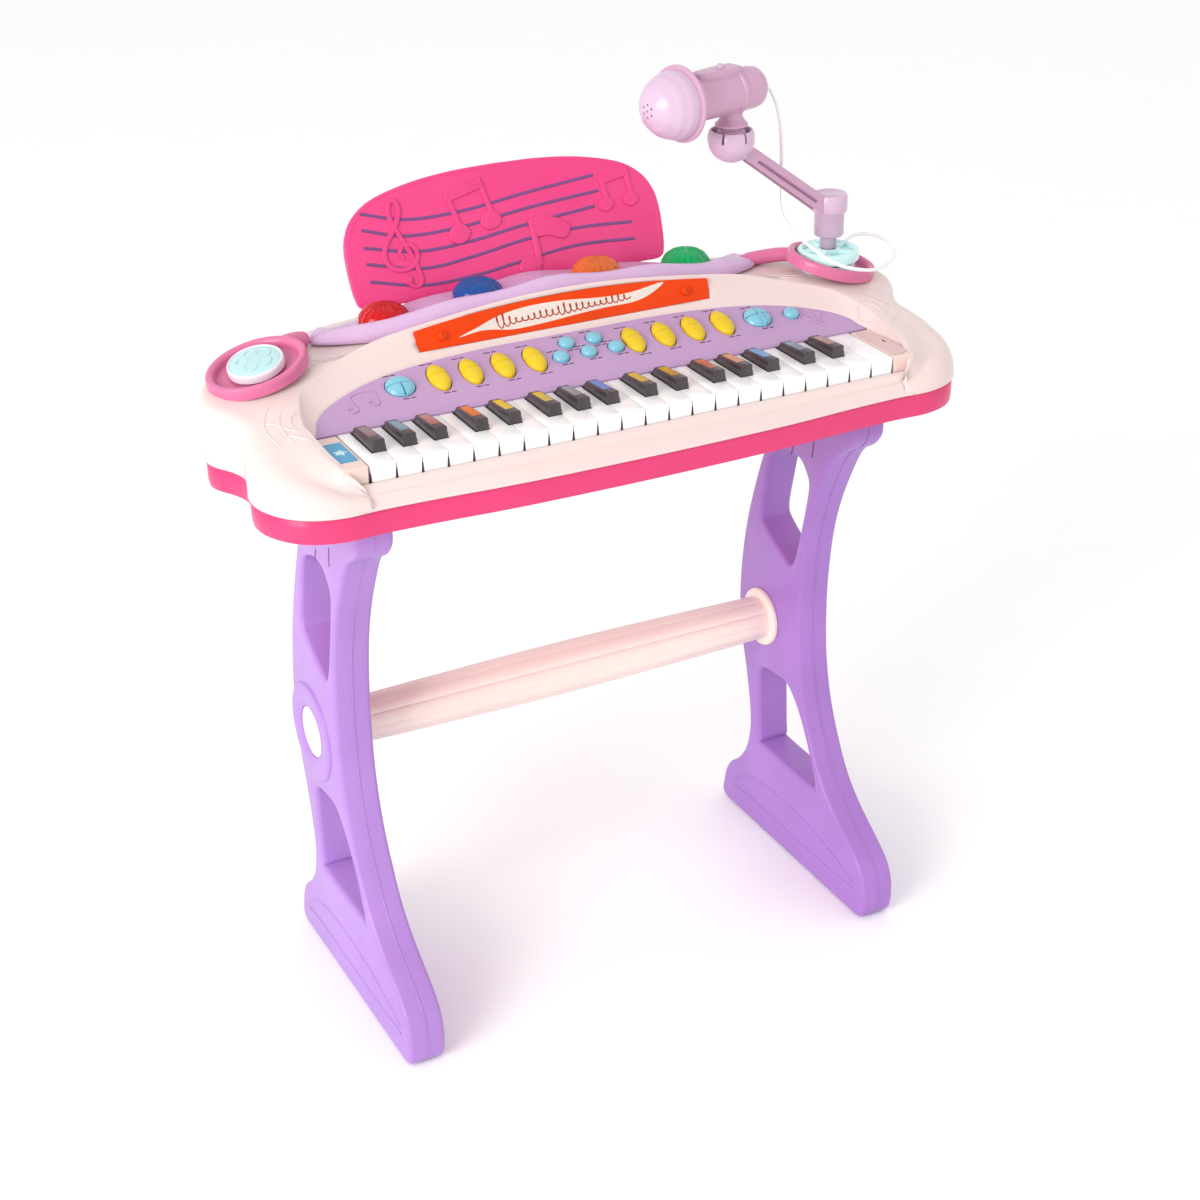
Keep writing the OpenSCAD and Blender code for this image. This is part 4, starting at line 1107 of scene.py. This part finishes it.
# ---------- music stand


# Local X along the music stand, Y up its lean, Z out of its front
STAND = move(0, 86.6, 456) @ turned(radians(90 - 21.6), "X")
STAND_HALF = [
    (0, 12), (55, 12), (100, 12), (115.5, 13), (119.5, 20), (121, 34), (121, 50), (118.5, 62), (111, 74),
    (95, 84.5), (66, 92), (34, 95.6), (0, 96.5),
]


def make_stand():
    line = flat_line(STAND_HALF, 6)
    outline = line + [(-x, y) for x, y in reversed(line[1:-1])]
    stand = plate("stand_plate", outline, [], -2, 2, 1.3, "stand", STAND)
    tabs = [
        bar("stand_tab", (43, 12, 3.8), 0.4, "stand", STAND @ move(s * 62, 6.8, 0))
        for s in (-1, 1)
    ]
    border = [(x * 0.972, 15 + (y - 12) * 0.94, 2.0) for x, y in outline[14:-14]]
    own(joined("music_stand_pink", [stand, *tabs]), "music_stand", "hot_pink", "music_stand")
    staves = [
        [(-105, 76), (-72, 67.5), (-30, 67.5), (20, 73), (73, 77.7)],
        [(-106, 65), (-74, 56.5), (-30, 57), (20, 62.5), (75, 66.4)],
        [(-107, 53), (-68, 45), (-28, 46), (13, 51), (70, 56)],
        [(-107, 42), (-67, 33), (-28, 35.5), (13, 41), (56, 43), (97, 41)],
        [(-107, 30), (-68, 21.6), (-28, 22.5), (0, 25.7), (50, 31), (97, 29)],
    ]
    lines = [level_line(path, 10, z=2.0) for path in staves]
    # The staves are flat dark beads: painted shade of grooves.
    stave_shades = [tube("stave", line, 1.15, "groove", STAND, flat=0.35) for line in lines]
    own(joined("stand_staves", stave_shades), "music_stand", "purple")
    notes = [stand_line(border, 0.4, 0.5)]
    notes += double_note((-36, 52), (-11, 58), (-43, 81), (-17, 88), 7.6)
    notes += double_note((79, 56), (99, 57), (76, 77), (96, 81), 5.6)
    notes += flag_note()
    notes += clef()
    own(joined("stand_notes", notes), "music_stand", "hot_pink")


def stand_plate(outline, thick=3.4, bevel=0.9):
    return plate("stand_relief", outline, [], 1.6, thick, bevel, "stand", STAND)


def stand_line(line, radius, flat=0.55):
    return tube("stand_relief", line, radius, "stand", STAND, flat=flat)


def note_head(x, y, r):
    outline = [
        (x + r * 1.05 * cos(a) - 0.3 * r * sin(a) * 0.5, y + r * 0.86 * sin(a) + 0.2 * r * cos(a))
        for a in angles(28)
    ]
    return stand_plate(outline)


def double_note(head_a, head_b, top_a, top_b, r):
    parts = [note_head(*head_a, r), note_head(*head_b, r)]
    for head, top in ((head_a, top_a), (head_b, top_b)):
        a = Vector((head[0] + r * 0.4, head[1], 2.4))
        b = Vector((top[0] + 2, top[1], 2.4))
        parts.append(stand_line([a.lerp(b, t / 6) for t in range(7)], 1.9))
    beam = [top_a, (top_b[0] + 4, top_b[1]), (top_b[0] + 4, top_b[1] - 7), (top_a[0] + 1, top_a[1] - 7)]
    return [*parts, stand_plate(round_corners(beam, 1.6), 3.3, 0.8)]


def flag_note():
    stem = [(20, 22, 2.5), (20, 34, 2.5), (19.5, 46, 2.5), (19, 54, 2.5)]
    flag = [(17, 54), (30, 55), (42, 51), (48, 45), (44, 38), (38, 38), (30, 41), (21, 42)]
    return [note_head(12.5, 22, 8.2), stand_line(stem, 2.3), stand_plate(flat_line(flag, 5, True))]


def clef():
    path = [
        (-80, 25), (-75, 21.5), (-70, 24), (-70.5, 32), (-75, 46), (-81, 60), (-85, 72), (-83.5, 80),
        (-79, 81), (-77.5, 74), (-82, 64), (-90, 54), (-93.5, 45), (-90, 37), (-81, 34), (-72.5, 37),
        (-69.5, 44), (-73, 50), (-79, 50.5), (-82, 46), (-80, 41.5),
    ]
    line = level_line(path, 6, z=2.5)
    n = len(line)
    radii = [1.3 + 0.6 * sin(pi * i / n) for i in range(n)]
    return [stand_line(line, radii, 0.6), note_head(-79.5, 26.5, 3.2)]


# ---------- legs and crossbar

LEG_FRONT = [
    (-84, 398.4), (-84, 386), (-83, 376), (-76, 367), (-64, 359), (-54, 345), (-38, 312), (-28, 280),
    (-22.5, 240), (-21.8, 208), (-24, 175), (-32, 141), (-46, 110), (-60, 88), (-78, 71), (-98, 57),
    (-113, 45.5), (-120.5, 35), (-123.5, 21), (-122.6, 9), (-119.5, 2.6), (-113, 0.2),
]
LEG_REAR = [
    (79, 0.2), (84, 3), (85.2, 8), (84, 15), (81, 26), (75, 36), (62, 47), (50, 64), (45, 84), (46, 104),
    (52, 132),
    (60, 161), (64, 191), (62, 226), (55, 263), (45, 295), (34, 324), (23, 350), (15, 378), (13, 398.4),
]
UPPER_WINDOW = [
    (-25, 331), (-29, 322), (-25, 300), (-15, 262), (-9, 251), (-1, 251), (28, 267), (34, 276),
    (29, 300), (23, 322), (17, 331), (0, 338), (-16, 338),
]
LOWER_WINDOW = [
    (20, 147), (4, 148.5), (-9, 147.5), (-24, 134), (-38, 112), (-50, 86), (-50, 79.5), (-44, 78),
    (22, 78), (28, 82), (30, 106), (31, 134), (28, 144),
]


# Raised lines on a leg's foot, and the short scores at its top, as (y, z)
LEG_BEADS = [
    [(-108, 28), (-60, 40), (0, 44), (44, 38), (68, 24)],
    [(-108, 22), (-60, 20), (0, 20), (44, 20), (68, 18)],
]
LEG_SCORES = [((-10, 348), (-6, 338)), ((-36, 360), (-34, 346))]


def leg_matrix(x):
    """Local X to +Y, local Y to +Z, local Z to +X."""
    return Matrix(((0, 0, 1, x), (1, 0, 0, 0), (0, 1, 0, 0), (0, 0, 0, 1)))


def make_leg(side):
    name = "left" if side < 0 else "right"
    # The right leg takes the darker copy of the purple: painted shade.
    skin = "purple" if side < 0 else "purple_painted_shade"
    outer = 197.0
    thick = 27.0
    mid = outer - thick / 2
    line = flat_line(LEG_FRONT, 5)
    line += flat_line(LEG_REAR, 5)
    windows = [flat_line(w, 5, True) for w in (UPPER_WINDOW, LOWER_WINDOW)]
    body = plate("leg", line, windows, -thick / 2, thick / 2, 3.4, skin, leg_matrix(side * mid), 4)
    parts = []
    for face in (-1, 1):
        x = side * mid + face * (thick / 2)
        at = leg_matrix(x)
        for path in LEG_BEADS:
            parts.append(tube("bead", level_line(path, 6), 1.2, skin, at, flat=0.6))
        for path in LEG_SCORES:
            a, b = (Vector((*p, 0)) for p in path)
            # The scores are dark beads: painted shade in the cuts.
            parts.append(tube("score", [a, a.lerp(b, 0.5), b], 0.9, "groove", at, flat=0.4))
    boss = [
        (19.2, -0.5), (19.3, 0.7), (20.0, 1.2), (21.4, 1.2), (22.2, 1.4), (23.4, 2.0), (33.2, 2.0),
        (35.2, 1.6), (36.2, 0.6), (36.4, -0.5),
    ]
    cap = lathe("boss", boss, skin, move(side * outer, bar_at.y, bar_at.z) @ turned(side * pi / 2, "Y"))
    seam = [(side * mid, p[0] - 0.1, p[1]) for p in line[6 : len(LEG_FRONT) * 5 - 12]]
    parts.append(tube("seam", seam, 0.5, skin, sides=6))
    tongue = bar("tongue", (12, 60, 14), 1, skin, move(side * mid, -36, 402))
    pads = [bar("pad", (18, 30, 1.0), 0.4, skin, move(side * mid, y, 0.6)) for y in (-94, 58)]
    own(joined(f"leg_{name}_moulding", [body, cap, tongue, *parts, *pads]), ROOT, "purple", f"{name}_leg")


def make_crossbar():
    half = 169.8
    rows = []
    flutes = 10
    for k in range(41):
        x = half * (2 * k / 40 - 1)
        r = 16.4 + 2.6 * (1 - abs(x / half) ** 1.6)
        row = []
        for a in angles(120):
            dip = 1.1 * (1 - abs(sin(flutes * a / 2)) ** 0.5)
            row.append((x, bar_at.y + (r - dip) * cos(a), bar_at.z + (r - dip) * sin(a)))
        rows.append(row)
    parts = [loft("bar_fluted", rows, "bar", crease=45)]
    for side in (-1, 1):
        at = move(side * half, bar_at.y, bar_at.z) @ turned(side * pi / 2, "Y")
        flange = [(15, -4), (20.5, -4), (22, -3.2), (22.5, -2), (22.5, -0.2), (15, -0.2)]
        parts.append(lathe("bar_flange", flange, "bar", at, 64))
        plug = [(18.7, 0), (18.7, 26.6), (18.2, 27.6), (17, 28), (9, 28.3), (0, 28.4), (0, 0)]
        parts.append(lathe("bar_plug", plug, "bar", at, 64))
    own(joined("crossbar_peach", parts), ROOT, "peach", "crossbar")


# ---------- microphone


def joint_at(name):
    for joint in frame["joints"]:
        if joint["name"] == name:
            return Vector(joint["pos_m"]) / MM


def arm_matrix(post):
    """Local X from the post towards the ball."""
    return move(post.x, post.y, 0) @ turned(radians(180 + 9), "Z")


def make_arm(post, ball):
    at = arm_matrix(post)
    base = box_mm("mic_base")[1].z
    column = [
        (0, base - 9), (5, base - 9), (5, base + 0.6), (5.8, base + 0.9), (5.8, 487.2), (7.2, 488.2),
        (9.8, 488.6), (10.6, 489.6), (10.6, 505), (12, 506), (12.6, 507.2), (12.6, 517.2), (11.6, 518.8),
        (10, 519.1), (9, 518.6), (0, 518.6),
    ]
    parts = [lathe("arm_column", column, "lilac_pale", at, 64)]
    start, end = Vector((6, 0, 506 + ARM_RAISE)), Vector((ARM_REACH - 10.2, 0, 559.2 + ARM_RAISE))
    rows = []
    n = 18
    for k in range(n + 1):
        t = k / n
        c = start.lerp(end, t)
        w = 6.2 - 1.0 * t
        h = 5.5 - 0.8 * t
        along = (end - start).normalized()
        up = Vector((-along.z, 0, along.x))
        section = [
            (-w, -h), (-w, h - 1.6), (-w + 1.4, h), (w - 1.4, h), (w, h - 1.6), (w, -h),
            (w - 1.7, -h), (w - 1.9, h - 2.6), (-w + 1.9, h - 2.6), (-w + 1.7, -h),
        ]
        rows.append([c + Vector((0, y, 0)) + up * z for y, z in section])
    parts.append(loft("arm_channel", rows, "lilac", at, crease=40))
    rib = [start.lerp(end, t / 10) + Vector((-2.8, 0, 4.9 - 0.7 * t / 10)) for t in range(11)]
    parts.append(tube("arm_rib", rib, 1.1, "lilac", at))
    # A dark band along each side of the arm: painted shade of the channel.
    for side in (-1, 1):
        steps = range(11)
        line = [start.lerp(end, 0.16 + 0.07 * t) + Vector((0.4, side * (6.0 - 0.07 * t), -1)) for t in steps]
        parts.append(tube("arm_groove_shade", line, 1.3, "lilac_painted_shade", at, flat=0.7))
    cup_r = 16
    bowl = [(cup_r * cos(a), cup_r * sin(a)) for a in (radians(-80 + 10 * k) for k in range(11))]
    inside = [(14.4, 6.4), (13.4, 6.2), (12.8, 4), (12.5, 0), (11, -6), (6, -11), (0, -12.6)]
    cup = lathe(
        "arm_cup", [(0, -cup_r), *bowl, *inside], "lilac_pale",
        at @ move(ARM_REACH, 0, ball.z + ARM_RAISE), 72,
    )
    for k in range(6):
        a = radians(30 + 60 * k)
        turn = at @ move(ARM_REACH, 0, ball.z + ARM_RAISE + 3) @ turned(a, "Z") @ move(14, 0, 1.5)
        cut(cup, bar("slot", (8, 1.9, 10), 0.2, "lilac", turn, 1))
    parts.append(cup)
    own(joined("arm_lilac", parts), "mic_arm", "lilac", "mic_arm")


def make_mic(post, ball):
    arm = arm_matrix(post)
    top = arm @ move(ARM_REACH, 0, MIC_Z) @ turned(radians(5), "Z")
    at = top @ turned(pi / 2, "Y")
    barrel = [
        (0, -23.5), (8, -23.5), (11.4, -22.6), (13.4, -20), (14.2, -16), (14.4, -2.2), (15.5, -1.6),
        (15.9, -0.2),
        (15.5, 1.2), (14.4, 1.8), (14.4, 30), (14.9, 36), (16.6, 41), (20.5, 44.6), (24, 46.2), (25.4, 47.4),
        (25.2, 48.8), (24.2, 49.2), (0, 49.2),
    ]
    parts = [lathe("mic_barrel", barrel, "lilac", at, 72, 45)]
    dome = [
        (22.4, 48.6), (22.6, 52), (22.3, 55.4), (21.7, 58), (21.3, 58.4), (20.6, 61.2), (19.2, 64.4),
        (18.7, 64.8), (16.6, 68.2), (13.8, 71.2), (13.2, 71.5), (9.8, 73.9), (6, 75.6), (3, 76.3), (0, 76.5),
    ]
    face = lathe("mic_grille", dome + [(0, 48.6)], "lilac_pale", at, 72, 20)
    for k in range(7):
        a = radians(60 * k)
        x, y = (0, 0) if k == 6 else (4.2 * cos(a), 4.2 * sin(a))
        pin = lathe("pin", [(0, 79), (0.8, 79), (0.8, 73), (0, 73)], "ink", at @ move(x, y, 0), 12)
        cut(face, pin)
    parts.append(face)
    ridge_line = [(-4, -6.4), (2, -7.4), (16, -7.4), (30, -6.2), (34, -4)]
    ridge_line += [(x, -y) for x, y in reversed(ridge_line)]
    parts.append(plate("mic_ridge", round_corners(ridge_line, 2), [], 9, 17.6, 1.8, "lilac", top))
    neck = [(0, -11), (9.4, -11), (8.0, -13.5), (7.4, -15), (7.6, -17), (9.4, -19.6), (11.2, -21.4)]
    neck += [(11.2, -22.6), (8.4, -23.4), (8, -27), (0, -27)]
    parts.append(lathe("mic_neck", neck, "lilac", top, 56))
    ball_line = [(BALL_R * sin(a), BALL_R * cos(a)) for a in (pi * k / 20 for k in range(21))]
    parts.append(lathe("mic_ball", ball_line, "lilac", arm @ move(ARM_REACH, 0, ball.z + ARM_RAISE), 56))
    own(joined("microphone_lilac", parts), "microphone", "lilac", "mic_body")
    low, high = box_mm("mic_switch")
    mid = (low + high) / 2
    switch = lathe(
        "switch_button", [(0, 1.9), (1.4, 1.8), (2.4, 1.2), (2.8, 0.2), (2.8, -2), (0, -2)],
        "lilac_pale", move(mid.x, mid.y, high.z - 1.7), 32,
    )
    own(switch, "mic_switch", "lilac", "mic_switch")


# ---------- studio


def light(name, place, aim, size, power, color=(1, 1, 1)):
    data = bpy.data.lights.new(name, "AREA")
    data.size = size
    data.energy = power
    data.color = color
    obj = linked(name, data)
    obj.location = place
    obj.rotation_euler = (Vector(aim) - Vector(place)).to_track_quat("-Z", "Y").to_euler()


FLOOR_HALF = 8000
FLOOR_Z = -0.4


def make_studio():
    corners = [(x * FLOOR_HALF, y * FLOOR_HALF, FLOOR_Z) for x, y in ((-1, -1), (1, -1), (1, 1), (-1, 1))]
    make_piece("floor", corners, [[0, 1, 2, 3]], "floor")
    world = bpy.data.worlds.new("studio")
    world.use_nodes = True
    background = world.node_tree.nodes["Background"].inputs
    background["Color"].default_value = (1, 1, 1, 1)
    background["Strength"].default_value = 1.0
    bpy.context.scene.world = world
    middle = (0, 0, 0.35)
    light("key_light", (-2.3, -1.1, 1.3), middle, 1.4, 54, (1, 0.975, 0.955))
    light("fill_light", (1.7, -1.8, 1.0), middle, 1.6, 4)
    bpy.context.scene.view_settings.view_transform = "Standard"


# ---------- build

materials = make_materials()
bar_low, bar_high = box_mm("crossbar")
bar_at = (bar_low + bar_high) / 2
post_at = joint_at("arm_swing")
ball_at = joint_at("microphone_tilt")

make_camera()
make_cord()
make_shell()
make_tray()
make_keys()
make_panel()
make_buttons()
make_window()
make_rail()
make_domes()
make_rings()
make_disc()
make_base(post_at)
make_stand()
make_leg(-1)
make_leg(1)
make_crossbar()
make_arm(post_at, ball_at)
make_mic(post_at, ball_at)
make_studio()
